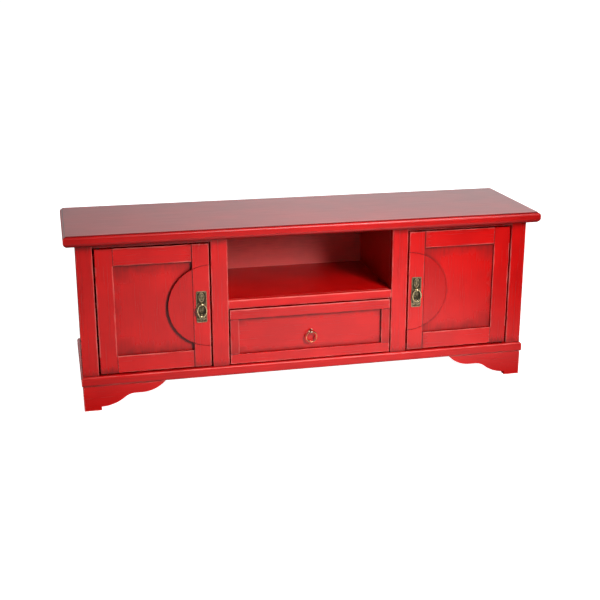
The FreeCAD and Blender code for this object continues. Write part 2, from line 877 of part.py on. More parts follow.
def make_pull_plate(name, x):
    """A door's pull plate: a raised rim round a sunk field, an oval cartouche and a round medallion."""
    centre_z = door_middle - d.plate_drop
    half_w = d.plate_width / 2
    half_h = d.plate_height / 2
    plate = new_body(f"{name}_pull_plate")

    def rounded(width, height, corner):
        inner_w = width - corner
        inner_h = height - corner
        return [
            (-inner_w, -height),
            (inner_w, -height, corner, (inner_w, -inner_h)),
            (width, -inner_h),
            (width, inner_h, corner, (inner_w, inner_h)),
            (inner_w, height),
            (-inner_w, height, corner, (-inner_w, inner_h)),
            (-width, inner_h),
            (-width, -inner_h, corner, (-inner_w, -inner_h)),
        ]

    pad(plate, "XZ_Plane", rounded(half_w, half_h, d.plate_corner), d.plate_thickness)
    field = rounded(half_w - d.plate_rim, half_h - d.plate_rim, d.plate_corner - d.plate_rim)
    cut(plate, "XZ_Plane", lambda sketch: outline(sketch, field), d.plate_field_depth, ZERO)

    half_oval = d.cartouche_width / 2
    foot_reach = d.pull_foot_diameter / 2 + d.boss_gap
    oval_low = d.pull_lift + foot_reach + half_oval
    oval_high = half_h - d.plate_rim - d.boss_gap - half_oval
    oval = [
        (half_oval, oval_low),
        (half_oval, oval_high, half_oval, (ZERO, oval_high)),
        (ZERO, oval_high + half_oval, half_oval, (ZERO, oval_high)),
        (-half_oval, oval_high),
        (-half_oval, oval_low, half_oval, (ZERO, oval_low)),
        (ZERO, oval_low - half_oval, half_oval, (ZERO, oval_low)),
    ]
    boss_start = d.boss_height - d.plate_field_depth
    pad(plate, "XZ_Plane", oval, d.boss_height, boss_start)
    medallion_radius = d.medallion_diameter / 2
    sketch = sketch_on(plate, "XZ_Plane", f"{name}_medallion", boss_start)
    circle(sketch, ZERO, d.pull_lift - foot_reach - medallion_radius, medallion_radius)
    feature = plate.newObject("PartDesign::Pad", f"{name}_medallion_pad")
    feature.Profile = sketch
    feature.setExpression("Length", d.boss_height.text)
    feature.Reversed = True
    place(plate, x, face_y - d.plate_thickness, centre_z)
    return plate


def make_pull_post(label, foot_diameter, foot_thickness, standoff, bend):
    """A turned post that stands out from the front: foot, neck and a ball with an eye for a bent ring."""
    foot = foot_diameter / 2
    neck = d.neck_diameter / 2
    ball = d.ball_diameter / 2
    ball_start = -(standoff - root(ball * ball - neck * neck))
    ball_front = -standoff - ball
    section = [
        (ZERO, ZERO),
        (ZERO, foot),
        (-foot_thickness, foot),
        (-foot_thickness, neck),
        (ball_start, neck, ball, (-standoff, ZERO)),
        (-standoff, ball, ball, (-standoff, ZERO)),
        (ball_front, ZERO),
    ]
    post = turned(label, "YZ_Plane", section, "H_Axis")
    wire_sag = ball * ball / (bend * 2)
    eye = d.wire_diameter / 2 + wire_sag + d.eye_clearance
    cut(post, "YZ_Plane", lambda sketch: circle(sketch, -standoff, ZERO, eye))
    return post


def make_oval_ring(label):
    """A door's ring: wire bent to an oval of four arcs that hangs from the middle of its top."""
    half_w = (d.door_ring_width - d.wire_diameter) / 2
    half_h = (d.door_ring_height - d.wire_diameter) / 2
    end_r = d.door_ring_end_radius
    rise = half_h - end_r
    side_r = (half_w * half_w + rise * rise - end_r * end_r) / ((half_w - end_r) * 2)
    shift = side_r - half_w
    share = end_r / (side_r - end_r)
    join_x = shift * share
    join_z = rise + rise * share
    ring = new_body(label)
    path = sketch_on(ring, "XZ_Plane", f"{label}_path")
    middle = -half_h
    outline(path, [
        (join_x, middle + join_z, end_r, (ZERO, middle + rise)),
        (-join_x, middle + join_z, side_r, (shift, middle)),
        (-join_x, middle - join_z, end_r, (ZERO, middle - rise)),
        (join_x, middle - join_z, side_r, (-shift, middle)),
    ])
    wire = sketch_on(ring, "YZ_Plane", f"{label}_wire")
    circle(wire, ZERO, ZERO, d.wire_diameter / 2)
    pipe = ring.newObject("PartDesign::AdditivePipe", f"{label}_pipe")
    pipe.Profile = wire
    pipe.Spine = path
    return ring


def make_door_pull(name, side):
    """Plate, post and ring of a door, on the middle of its lock stile."""
    x = side * (door_free_edge + d.door_stile_width / 2)
    pivot_z = door_middle - d.plate_drop + d.pull_lift
    plate_front = face_y - d.plate_thickness + d.plate_field_depth
    post = make_pull_post(f"{name}_pull_post", d.pull_foot_diameter, d.pull_foot_thickness, d.pull_standoff,
                          d.door_ring_end_radius)
    place(post, x, plate_front, pivot_z)
    ring = make_oval_ring(f"{name}_ring")
    place(ring, x, plate_front - d.pull_standoff, pivot_z)
    return [make_pull_plate(name, x), post, ring]


def make_drawer_front():
    """The framed drawer front: rails right across, short stiles between them, and a flat panel."""
    bottom_line = drawer_bottom + d.drawer_rail_width
    top_line = drawer_top - d.drawer_rail_width
    width = drawer_half * 2
    rails = [
        crosspiece("drawer_top_rail", drawer_top, top_line, -drawer_half, width),
        crosspiece("drawer_bottom_rail", drawer_bottom, bottom_line, -drawer_half, width),
    ]
    stiles = []
    for name, side in SIDES.items():
        stiles.append(upright(f"drawer_{name}_stile", side * drawer_half, side * drawer_panel_half,
                              bottom_line, top_line - bottom_line, True))
    panel = framed_panel("drawer_panel", -drawer_panel_half, drawer_panel_half, bottom_line, top_line)
    return [group("drawer_rails", rails), group("drawer_stiles", stiles), panel]


def make_drawer_box():
    """The drawer's sides, back and bottom, and the runners that its sides are grooved for."""
    front = door_back_y
    side_top = drawer_side_bottom + d.drawer_side_height
    floor_under = drawer_side_bottom + d.drawer_bottom_lift
    floor_top = floor_under + d.drawer_bottom_thickness
    bed_x = drawer_side_out - d.runner_groove
    groove_bottom = runner_bottom - d.runner_play
    groove_top = runner_bottom + d.runner_height + d.runner_play
    sides = []
    runners = []
    for name, side in SIDES.items():
        floor_bed = side * (drawer_side_in + d.drawer_bottom_groove)
        section = [
            (side * drawer_side_out, drawer_side_bottom),
            (side * drawer_side_out, groove_bottom),
            (side * bed_x, groove_bottom),
            (side * bed_x, groove_top),
            (side * drawer_side_out, groove_top),
            (side * drawer_side_out, side_top),
            (side * drawer_side_in, side_top),
            (side * drawer_side_in, floor_top),
            (floor_bed, floor_top),
            (floor_bed, floor_under),
            (side * drawer_side_in, floor_under),
            (side * drawer_side_in, drawer_side_bottom),
        ]
        sides.append(bar(f"drawer_{name}_side", "XZ_Plane", section, front, d.drawer_length))
        near = bed_x + d.runner_play
        runner_front = front + d.runner_play
        runners.append(block(f"drawer_{name}_runner",
                             (low_end(side, near, inner_in), runner_front, runner_bottom),
                             (inner_in - near, panel_back_y - runner_front, d.runner_height)))
    back_front = front + d.drawer_length - d.drawer_side_thickness
    back = block("drawer_back", (-drawer_side_in, back_front, floor_top),
                 (drawer_side_in * 2, d.drawer_side_thickness, side_top - floor_top))
    floor_half = drawer_side_in + d.drawer_bottom_groove
    floor = block("drawer_bottom", (-floor_half, front, floor_under),
                  (floor_half * 2, d.drawer_length, d.drawer_bottom_thickness))
    return [group("drawer_sides", sides), back, floor, group("drawer_runners", runners)]


def make_drawer_pull():
    """The drawer's post on its rosette, and a round ring with a pointed drop."""
    pivot_z = (drawer_bottom + drawer_top) / 2
    pivot_line = groove_front - d.drawer_pull_standoff
    wire_radius = d.wire_diameter / 2
    ring_radius = d.drawer_ring_diameter / 2 - wire_radius
    post = make_pull_post("drawer_pull_post", d.rosette_diameter, d.rosette_thickness, d.drawer_pull_standoff,
                          ring_radius)
    place(post, ZERO, groove_front, pivot_z)
    hoop = doc.addObject("Part::Torus", "drawer_ring_hoop")
    hoop.setExpression("Radius1", ring_radius.text)
    hoop.setExpression("Radius2", wire_radius.text)
    hoop.Placement.Rotation = Rotation(Vector(1, 0, 0), 90)
    place(hoop, ZERO, pivot_line, pivot_z - ring_radius)
    drop = doc.addObject("Part::Cone", "drawer_ring_drop")
    drop.setExpression("Radius1", wire_radius.text)
    drop.Radius2 = 0
    drop.setExpression("Height", (wire_radius + d.drop_length).text)
    drop.Placement.Rotation = Rotation(Vector(1, 0, 0), 180)
    place(drop, ZERO, pivot_line, pivot_z - ring_radius * 2)
    ring = doc.addObject("Part::Fuse", "drawer_ring")
    ring.Label = "drawer_ring"
    ring.Base = hoop
    ring.Tool = drop
    return [post, ring]


def make_stand():
    """Every piece of the stand, in the order that it is put together."""
    pieces = make_base() + make_feet() + make_case() + make_posts() + make_front_rails() + make_top()
    pieces += make_cupboards() + make_bushes()
    for name, side in SIDES.items():
        pieces += make_door(name, side) + make_door_pull(name, side)
    return pieces + make_drawer_front() + make_drawer_box() + make_drawer_pull()


def check(pieces):
    """Stop if anything in the document failed or a piece has no sound shape."""
    doc.recompute()
    for item in doc.Objects:
        if {"Invalid", "Error"} & set(item.State):
            raise RuntimeError(f"{item.Label} failed: {item.State}")
    for piece in pieces:
        if piece.Shape.isNull() or not piece.Shape.isValid():
            raise RuntimeError(f"{piece.Label} has no sound shape")


stand = make_stand()
check(stand)
os.makedirs("parts", exist_ok=True)
for piece in stand:
    piece.Shape.exportStep(f"parts/{piece.Label}.step")
print(len(stand), "pieces written")
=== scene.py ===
import math
from typing import NamedTuple

import bmesh
import bpy
import numpy as np
from bpy.props import FloatProperty, FloatVectorProperty, IntProperty, PointerProperty
from bpy.types import Operator, Panel, PropertyGroup
from mathutils import Matrix, Vector


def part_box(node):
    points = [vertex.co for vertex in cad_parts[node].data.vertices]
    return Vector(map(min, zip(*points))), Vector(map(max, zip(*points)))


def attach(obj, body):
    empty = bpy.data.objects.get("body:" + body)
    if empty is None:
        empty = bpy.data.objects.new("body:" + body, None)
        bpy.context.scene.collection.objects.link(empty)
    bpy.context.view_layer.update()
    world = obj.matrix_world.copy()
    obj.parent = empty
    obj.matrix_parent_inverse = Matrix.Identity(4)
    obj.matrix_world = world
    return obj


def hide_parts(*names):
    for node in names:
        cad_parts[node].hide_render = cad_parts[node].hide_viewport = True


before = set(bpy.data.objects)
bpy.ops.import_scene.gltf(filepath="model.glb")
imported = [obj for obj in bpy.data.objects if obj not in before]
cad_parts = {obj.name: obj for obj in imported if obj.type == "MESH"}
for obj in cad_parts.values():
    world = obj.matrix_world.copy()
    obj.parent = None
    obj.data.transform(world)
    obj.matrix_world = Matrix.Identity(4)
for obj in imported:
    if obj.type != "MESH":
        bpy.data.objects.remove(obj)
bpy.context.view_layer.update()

bl_info = {
    "name": "Red lacquered TV stand",
    "version": (1, 0, 0),
    "blender": (4, 5, 0),
    "location": "View3D > Sidebar > TV Stand",
    "description": "Finishes the stand's boards and pulls, adds its small fittings and sets the studio",
    "category": "Object",
}

MM = 0.001
AXES = {"X": Vector((1, 0, 0)), "Y": Vector((0, 1, 0)), "Z": Vector((0, 0, 1))}
SIDES = {"left": -1, "right": 1}
# Step between the pieces of timber that the boards are cut from, in metres
TIMBER_STEP = Vector((1.37, 0.73, 2.11))
FRAME_PIXELS = 600
SENSOR_MM = 36
WHITE = "#FFFFFF"

# Kinds of node that come up often
COORDINATES = "ShaderNodeTexCoord"
MAP_RANGE = "ShaderNodeMapRange"
MATH = "ShaderNodeMath"
MIX = "ShaderNodeMix"
NOISE = "ShaderNodeTexNoise"
PRINCIPLED = "ShaderNodeBsdfPrincipled"
SPLIT = "ShaderNodeSeparateXYZ"
VECTOR_MATH = "ShaderNodeVectorMath"

# Places of the mix node's colour sockets, and what makes it mix colours
MIX_FACTOR = 0
MIX_FIRST = 6
MIX_SECOND = 7
COLOUR_MIX = {"out": 2, "data_type": "RGBA"}

# How the glaze of a panel, and the painted shade on the back panel, fades: narrower and thinner at its sides,
# wider in its corners
SIDE_NARROWING = 2.8
SIDE_SHARE = 0.5
RIM_FALLOFF = 1.3
CORNER_WIDENING = 1.5
CORNER_FALLOFF = 0.6

# Mean of the noise, and how far it breaks up the glaze of ends and the rubbed edges with their painted
# highlight, in widths of each
NOISE_MEAN = 0.5
END_BREAK = 2
WORN_BREAK = 3

# How much rougher glaze with its painted shade, and rubbed edges with their painted highlight, are than the
# lacquer
GLAZE_DULLING = 0.22

# Depth of the back panel's lacquered face, in front of its bare back
LACQUERED_DEPTH = 1 * MM

# How much the patches of a stamped plate count beside its hollows
HOLLOW_PATCHES = 0.35


def linear(code):
    """Linear colour of an sRGB hex value."""
    shares = [int(code[place:place + 2], 16) / 255 for place in (1, 3, 5)]
    return [share / 12.92 if share <= 0.04045 else ((share + 0.055) / 1.055) ** 2.4 for share in shares] + [1]


def colour(name, description, code):
    """A colour that a user may change."""
    return FloatVectorProperty(name=name, description=description, subtype="COLOR", size=4, min=0, max=1,
                               default=linear(code))


def amount(name, description, default, **kind):
    """A number that a user may change."""
    return FloatProperty(name=name, description=description, default=default, **kind)


def length(name, description, millimetres):
    """A length that a user may change."""
    return amount(name, description, millimetres * MM, subtype="DISTANCE", unit="LENGTH", precision=4)


def angle(name, description, degrees):
    """An angle that a user may change."""
    return amount(name, description, math.radians(degrees), subtype="ANGLE")


def power(name, description, watts):
    """The power of a light that a user may change."""
    return amount(name, description, watts, unit="POWER")


class StandLacquer(PropertyGroup):
    """Colours and scales of the antiqued lacquer, and of its painted shade, highlight and sheen."""

    red: colour("Red", "Lacquer where it is thick and bright", "#D60D0B")
    deep_red: colour("Deep red", "Lacquer where the ground shows through", "#C60A09")
    streak: colour("Streak", "Pores and brush streaks along the grain", "#8A0707")
    # The glaze also paints shade along lower edges, and under the top on the back panel
    glaze: colour("Glaze", "Dark wax wiped into corners and recesses", "#47110E")
    # The line colour also paints shade on the walls of recesses and gaps, and a shadow line at the posts'
    # feet
    line: colour("Line", "Dark lacquer in joints and scribed lines", "#760203")
    # Rubbed edges, with a painted highlight along the arrises
    worn: colour("Worn", "Rubbed edges", "#E07068")
    # Painted sheen: a pale tint that stands in for reflected light on the back panel
    dust: colour("Dust", "Dust and dull bloom where no cloth reaches", "#E8CCC6")
    grain_width: length("Grain width", "Distance across the streaks", 5)
    grain_length: length("Grain length", "Distance along the streaks", 170)
    cloud_size: length("Cloud size", "Distance between light and dark patches", 120)
    blotch_size: length("Blotch size", "Distance between thick and thin places of the glaze", 26)
    stray: length("Stray", "How far thick places of the glaze may run past its reach", 40)
    smudge_width: length("Smudge width", "Distance across the wiped glaze's streaks", 6)
    smudge_length: length("Smudge length", "Distance along the wiped glaze's streaks", 60)
    end_width: length("End width", "How far the glaze reaches in from a board's end", 24)
    halo_width: length("Halo width", "How far the glaze reaches out from the half-moons", 11)
    joint_width: length("Joint width", "Width of the dark line at a joint", 3.2)
    # Height of the painted shade along a lower edge
    sole_width: length("Sole width", "How far the glaze reaches up from a lower edge", 7)
    # The painted shade on the walls of recesses and gaps: depth over which it thickens, and depth at which it
    # ends
    recess_shade_ramp: length("Deep ramp", "Depth over which the wax of recesses and gaps thickens", 2)
    recess_shade_end: length("Deep end", "Depth at which that wax ends", 13)
    # Width of a rubbed edge with its painted highlight
    worn_width: length("Worn width", "Width of a rubbed edge", 3.6)
    scribe_width: length("Scribe width", "Half the width of the wax in a scribed line", 1.3)
    quirk_inset: length("Quirk inset", "Distance of the top's quirk from the nose", 7.25)


class StandTimber(PropertyGroup):
    """Colours and scales of the unpainted wood and of the hardboard back."""

    pale: colour("Pale wood", "Early wood of the planed pine", "#D9B583")
    dark: colour("Dark wood", "Late wood of the planed pine", "#A9794A")
    ring_width: length("Ring width", "Distance across the growth lines", 6)
    ring_length: length("Ring length", "Distance along the growth lines", 220)
    hardboard: colour("Hardboard", "Smooth brown back of the back panel", "#A98258")
    fibre: colour("Fibre", "Dark fibres in the hardboard", "#7E5C3C")
    fibre_size: length("Fibre size", "Size of the hardboard's fibres", 1.5)


class StandMetal(PropertyGroup):
    """Colours and scales of the fittings."""

    brass: colour("Brass", "Rubbed high spots of the antiqued brass", "#DCCC9C")
    patina: colour("Patina", "Dark greenish brown in the brass's hollows", "#37311F")
    stamped: colour("Stamped brass", "Rubbed high spots of the stamped plates", "#DCC096")
    copper: colour("Copper", "Warm rubbed brass of the drawer ring", "#D8845F")
    tarnish: colour("Tarnish", "Red-brown tarnish of the drawer ring", "#5A2A1C")
    polish: colour("Polish", "Pale polished brass of the drawer pull's post", "#E0C6AC")
    steel: colour("Steel", "Zinc plated pins, plates and screws", "#8C8C88")
    zinc_haze: colour("Zinc haze", "Dull patches of the zinc", "#6C6D6B")
    # Dark colour of the pivot pins and bushes: painted shade of the door gaps they sit in
    pivot_shade: colour("Grease", "Dark grease on the pivots", "#1E1512")
    plastic: colour("Plastic", "Moulded cases of the catches", "#3A241A")
    plastic_scuff: colour("Plastic scuff", "Rubbed plastic", "#4C3325")
    mottle_size: length("Mottle size", "Distance between patches of patina", 4)
    field_lift: length("Field lift", "Height of the plates' plain field over the door", 1.1)
    crown_lift: length("Crown lift", "Height of the plates' rubbed ornament over the door", 2.2)


class StandPlate(PropertyGroup):
    """Sizes of the stamped pull plates."""

    grid: length("Grid", "Distance between points of the stamped surface", 0.5)
    corner: length("Corner", "Radius of the plate's corners", 4)
    edge: length("Edge", "Height of the plate's outer edge", 0.7)
    rim_width: length("Rim width", "Width of the raised rim", 2.2)
    rim_height: length("Rim height", "How far the rim stands over the field", 0.8)
    relief: length("Relief", "How far the ornament stands over the field", 0.9)
    stipple: length("Stipple", "Distance between the punched dots of the field", 1.5)
    bead: length("Bead", "Diameter of the beads inside the rim", 1.3)
    bead_pitch: length("Bead pitch", "Distance between the beads", 1.7)


class StandScrew(PropertyGroup):
    """Sizes of the screw heads."""

    head: length("Head", "Diameter of a screw head", 6)
    lift: length("Lift", "How far a head stands out", 1.2)
    slot_width: length("Slot width", "Width of the cross recess", 0.9)
    slot_depth: length("Slot depth", "Depth of the cross recess", 0.7)
    back_pitch: length("Back pitch", "Distance between the back panel's screws", 170)
    back_inset: length("Back inset", "Distance of those screws from the panel's edge", 11)
    seed: IntProperty(name="Seed", description="Seed of the turn of each cross recess", default=7)


class StandStage(PropertyGroup):
    """Camera and studio."""

    focal: amount("Focal length", "Focal length in pixels of the picture", 1091.2)
    centre_x: amount("Centre X", "Pixel that the lens points at", 321.9)
    centre_y: amount("Centre Y", "Pixel that the lens points at", 296.2)
    yaw: angle("Yaw", "Turn to the right of straight ahead", 14.09)
    pitch: angle("Pitch", "Tilt below level", 17.01)
    roll: angle("Roll", "Turn about the line of sight", 0.26)
    place: FloatVectorProperty(name="Place", description="Where the camera stands", subtype="TRANSLATION",
                               unit="LENGTH", default=(-0.767, -3.360, 1.324))
    floor: colour("Floor", "Pale studio floor", "#F4F4F4")
    floor_size: length("Floor size", "Side of the studio floor", 160000)
    floor_glow: amount("Floor glow", "Light that the floor gives by itself", 1.05)
    floor_sheen: amount("Floor sheen", "Brightness of the lit paper that the gloss mirrors", 1.85)
    sky: amount("Sky", "Strength of the even light from all round", 0.03)
    ground: amount("Ground", "Strength of the light from below", 0.03)
    wall: amount("Wall", "Strength of the lit wall behind", 1.5)
    key_power: power("Key power", "Power of the soft box", 26.5)
    front_power: power("Front power", "Power of the panel beside the camera", 6)
    rear_power: power("Rear power", "Power of each panel behind", 200)
    glint_power: power("Glint power", "Power of the panel that only gloss shows", 85)


class Board(NamedTuple):
    """How one kind of lacquered board is finished, on nodes that may lie on both sides of the middle.

    The reach of a field's glaze, the butts without a rubbed edge and the depth where the painted shade of
    recesses starts are in millimetres. The other numbers are shares or factors. Axes are named for the grain
    and for hidden tongues.
    """

    name: str
    nodes: tuple
    grain: str
    spans_middle: bool = False
    ends: float = 0.35
    joint: float = 0.0
    # Share of the rubbed edges with their painted highlight
    worn: float = 0.7
    field: float = 0.0
    reach: float = 40.0
    halo: float = 0.0
    scribe: float = 0.0
    quirk: float = 0.0
    satin: float = 0.26
    tone: float = 1.0
    # Lightening of the top's nose: painted sheen
    nose: float = 0.0
    butt: float = 0.0
    seam: float = 0.0
    # Share of the painted shade along a lower edge
    sole: float = 0.0
    # Painted shade on the walls of recesses and gaps, and the depth where it starts
    deep: float = 0.0
    deep_from: float = 1.0
    brush: float = 1.0
    # Share of the painted sheen, a pale tint that stands in for reflected light
    dust: float = 0.0
    tongued: str = ""


def paired(*names):
    """Node names of both sides."""
    return tuple(f"{side}_{name}" for side in SIDES for name in names)


# On these boards the walls of recesses and gaps carry painted shade, and the rubbed edges a painted highlight
BOARDS = (
    # The top's nose is lightened: painted sheen
    Board("top_lacquer", ("top_board",), "X", spans_middle=True, ends=0, worn=0.4, quirk=0.9, satin=0.33,
          tone=0.68, nose=0.17),
    # The dark joint line at each post's foot is a painted shadow where the post meets the band
    Board("front_post_lacquer", paired("front_post"), "Z", ends=0.45, joint=0.8, brush=1.7),
    Board("inner_post_lacquer", paired("inner_post"), "Z", ends=0.5, joint=0.8, brush=1.5),
    # Its lower tone is painted shade under the top's nose
    Board("head_rail_lacquer", ("head_rails",), "X", ends=0.2, worn=0.3, tone=0.8),
    Board("shelf_rail_lacquer", ("shelf_rail",), "X", spans_middle=True, ends=0.25, satin=0.33),
    Board("hinge_stile_lacquer", paired("hinge_stile"), "Z", ends=0.65, butt=54, deep=0.4, brush=1.1),
    Board("lock_stile_lacquer", paired("lock_stile"), "Z", ends=0.4, scribe=1, seam=1, deep=0.4),
    Board("top_rail_lacquer", paired("door_top_rail"), "X", ends=0.2, joint=1, deep=0.8, tongued="X"),
    Board("bottom_rail_lacquer", paired("door_bottom_rail"), "X", ends=0.2, joint=1, deep=0.9, tongued="X"),
    Board("door_panel_lacquer", paired("door_panel"), "Z", ends=0, worn=0, field=0.8, halo=0.5, tongued="XZ"),
    Board("half_moon_lacquer", paired("half_moon"), "Z", ends=0.1, worn=0, scribe=0.9, tone=0.86, deep=0.6),
    Board("drawer_rail_lacquer", ("drawer_rails",), "X", spans_middle=True, ends=0.25, tone=0.92, deep=0.8),
    Board("drawer_stile_lacquer", ("drawer_stiles",), "Z", ends=0.15, joint=1, field=0.3, reach=45, tone=0.9,
          deep=0.9, tongued="Z"),
    Board("drawer_panel_lacquer", ("drawer_panel",), "X", spans_middle=True, ends=0, worn=0, field=0.75,
          reach=18, tone=0.9, tongued="XZ"),
    # Darker along its lower edge and on its top behind the doors: painted shade
    Board("front_band_lacquer", ("base_front_band",), "X", spans_middle=True, ends=0.1, worn=0.8, satin=0.33,
          tone=0.9, sole=0.4, deep=0.9, deep_from=7),
    Board("side_band_lacquer", ("base_left_band", "base_right_band"), "Y", ends=0.1, worn=0.8, tone=0.9),
    Board("front_foot_lacquer", paired("front_foot"), "X", ends=0.1),
    Board("side_foot_lacquer", paired("side_brackets"), "Y", ends=0.1),
    Board("rear_foot_lacquer", ("rear_feet",), "X", ends=0.1),
    Board("side_panel_lacquer", paired("side_panel"), "Z", worn=0.1),
    # Its lower tone is painted shade inside the niche
    Board("divider_lacquer", paired("divider"), "Z", ends=0.1, worn=0.1, satin=0.4, tone=0.76, brush=0.05),
    Board("niche_shelf_lacquer", ("niche_shelf",), "X", spans_middle=True, ends=0.2, worn=0, satin=0.16,
          tone=0.8, brush=0.45),
    Board("bottom_lacquer", ("bottom_board",), "X", spans_middle=True, ends=0.2, worn=0),
    Board("shelf_lacquer", ("cupboard_shelves",), "X", ends=0.2, worn=0.3),
)
# The back panel's glaze field is painted shade under the top, its high tone painted light, its pale tint a
# painted sheen
BACK = Board("back_lacquer_and_hardboard", ("back_panel",), "X", spans_middle=True, ends=0, worn=0, field=1,
             reach=220, satin=0.45, tone=1.5, brush=0.5, dust=0.24)

# Unpainted boards by the way their grain runs
BARE = {
    "X": ("drawer_back", "drawer_bottom", "base_back_rail"),
    "Y": ("drawer_sides", "drawer_runners", "shelf_cleats"),
    "Z": ("corner_blocks",),
}

# Numbers of a board that the lacquer's pattern takes as they are, and those in millimetres
BOARD_SHARES = ("ends", "joint", "worn", "field", "halo", "scribe", "quirk", "satin", "tone", "nose", "seam",
                "sole", "deep", "brush", "dust")
BOARD_LENGTHS = ("reach", "butt", "deep_from")
LACQUER_INPUTS = {
    "Vector": ("position", "low", "high", "along", "streaks", "smudges", "cut", "circle"),
    "Float": ("radius", *BOARD_SHARES, *BOARD_LENGTHS),
}
LACQUER_OUTPUTS = {"Color": ("colour",), "Float": ("roughness", "height")}


def add(tree, kind, inputs=None, out=0, **settings):
    """Add a node with its settings; an input is a value or a socket to link. Gives one of its outputs."""
    node = tree.nodes.new(kind)
    for name, value in settings.items():
        setattr(node, name, value)
    for key, value in (inputs or {}).items():
        if isinstance(value, bpy.types.NodeSocket):
            tree.links.new(value, node.inputs[key])
        else:
            node.inputs[key].default_value = value
    return node if out is None else node.outputs[out]


def new_material(name):
    """An empty node material with its output's surface socket."""
    material = bpy.data.materials.new(name)
    material.use_nodes = True
    tree = material.node_tree
    tree.nodes.clear()
    surface = add(tree, "ShaderNodeOutputMaterial", out=None).inputs["Surface"]
    return material, tree, surface


def new_group(name, kind, inputs, outputs):
    """A node group with its sockets, named by their types, and the outputs of its input node."""
    tree = bpy.data.node_groups.new(name, kind)
    for way, sockets in (("INPUT", inputs), ("OUTPUT", outputs)):
        for socket_type, names in sockets.items():
            for socket in names:
                tree.interface.new_socket(socket, in_out=way, socket_type=f"NodeSocket{socket_type}")
    return tree, add(tree, "NodeGroupInput", out=None).outputs


def paint(material, nodes):
    """Give a material to CAD nodes."""
    for name in nodes:
        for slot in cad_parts[name].material_slots:
            slot.material = material


def folded_box(board):
    """Lowest and highest corners of a board's nodes, with the left half folded onto the right."""
    corners = [vertex.co for name in board.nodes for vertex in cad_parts[name].data.vertices]
    points = [(abs(corner.x), corner.y, corner.z) for corner in corners]
    low = Vector(map(min, zip(*points)))
    high = Vector(map(max, zip(*points)))
    return low, high


def scale_along(grain, along, across):
    """Pattern scale for a grain that runs along an axis."""
    return Vector([1 / along if axis == grain else 1 / across for axis in AXES])


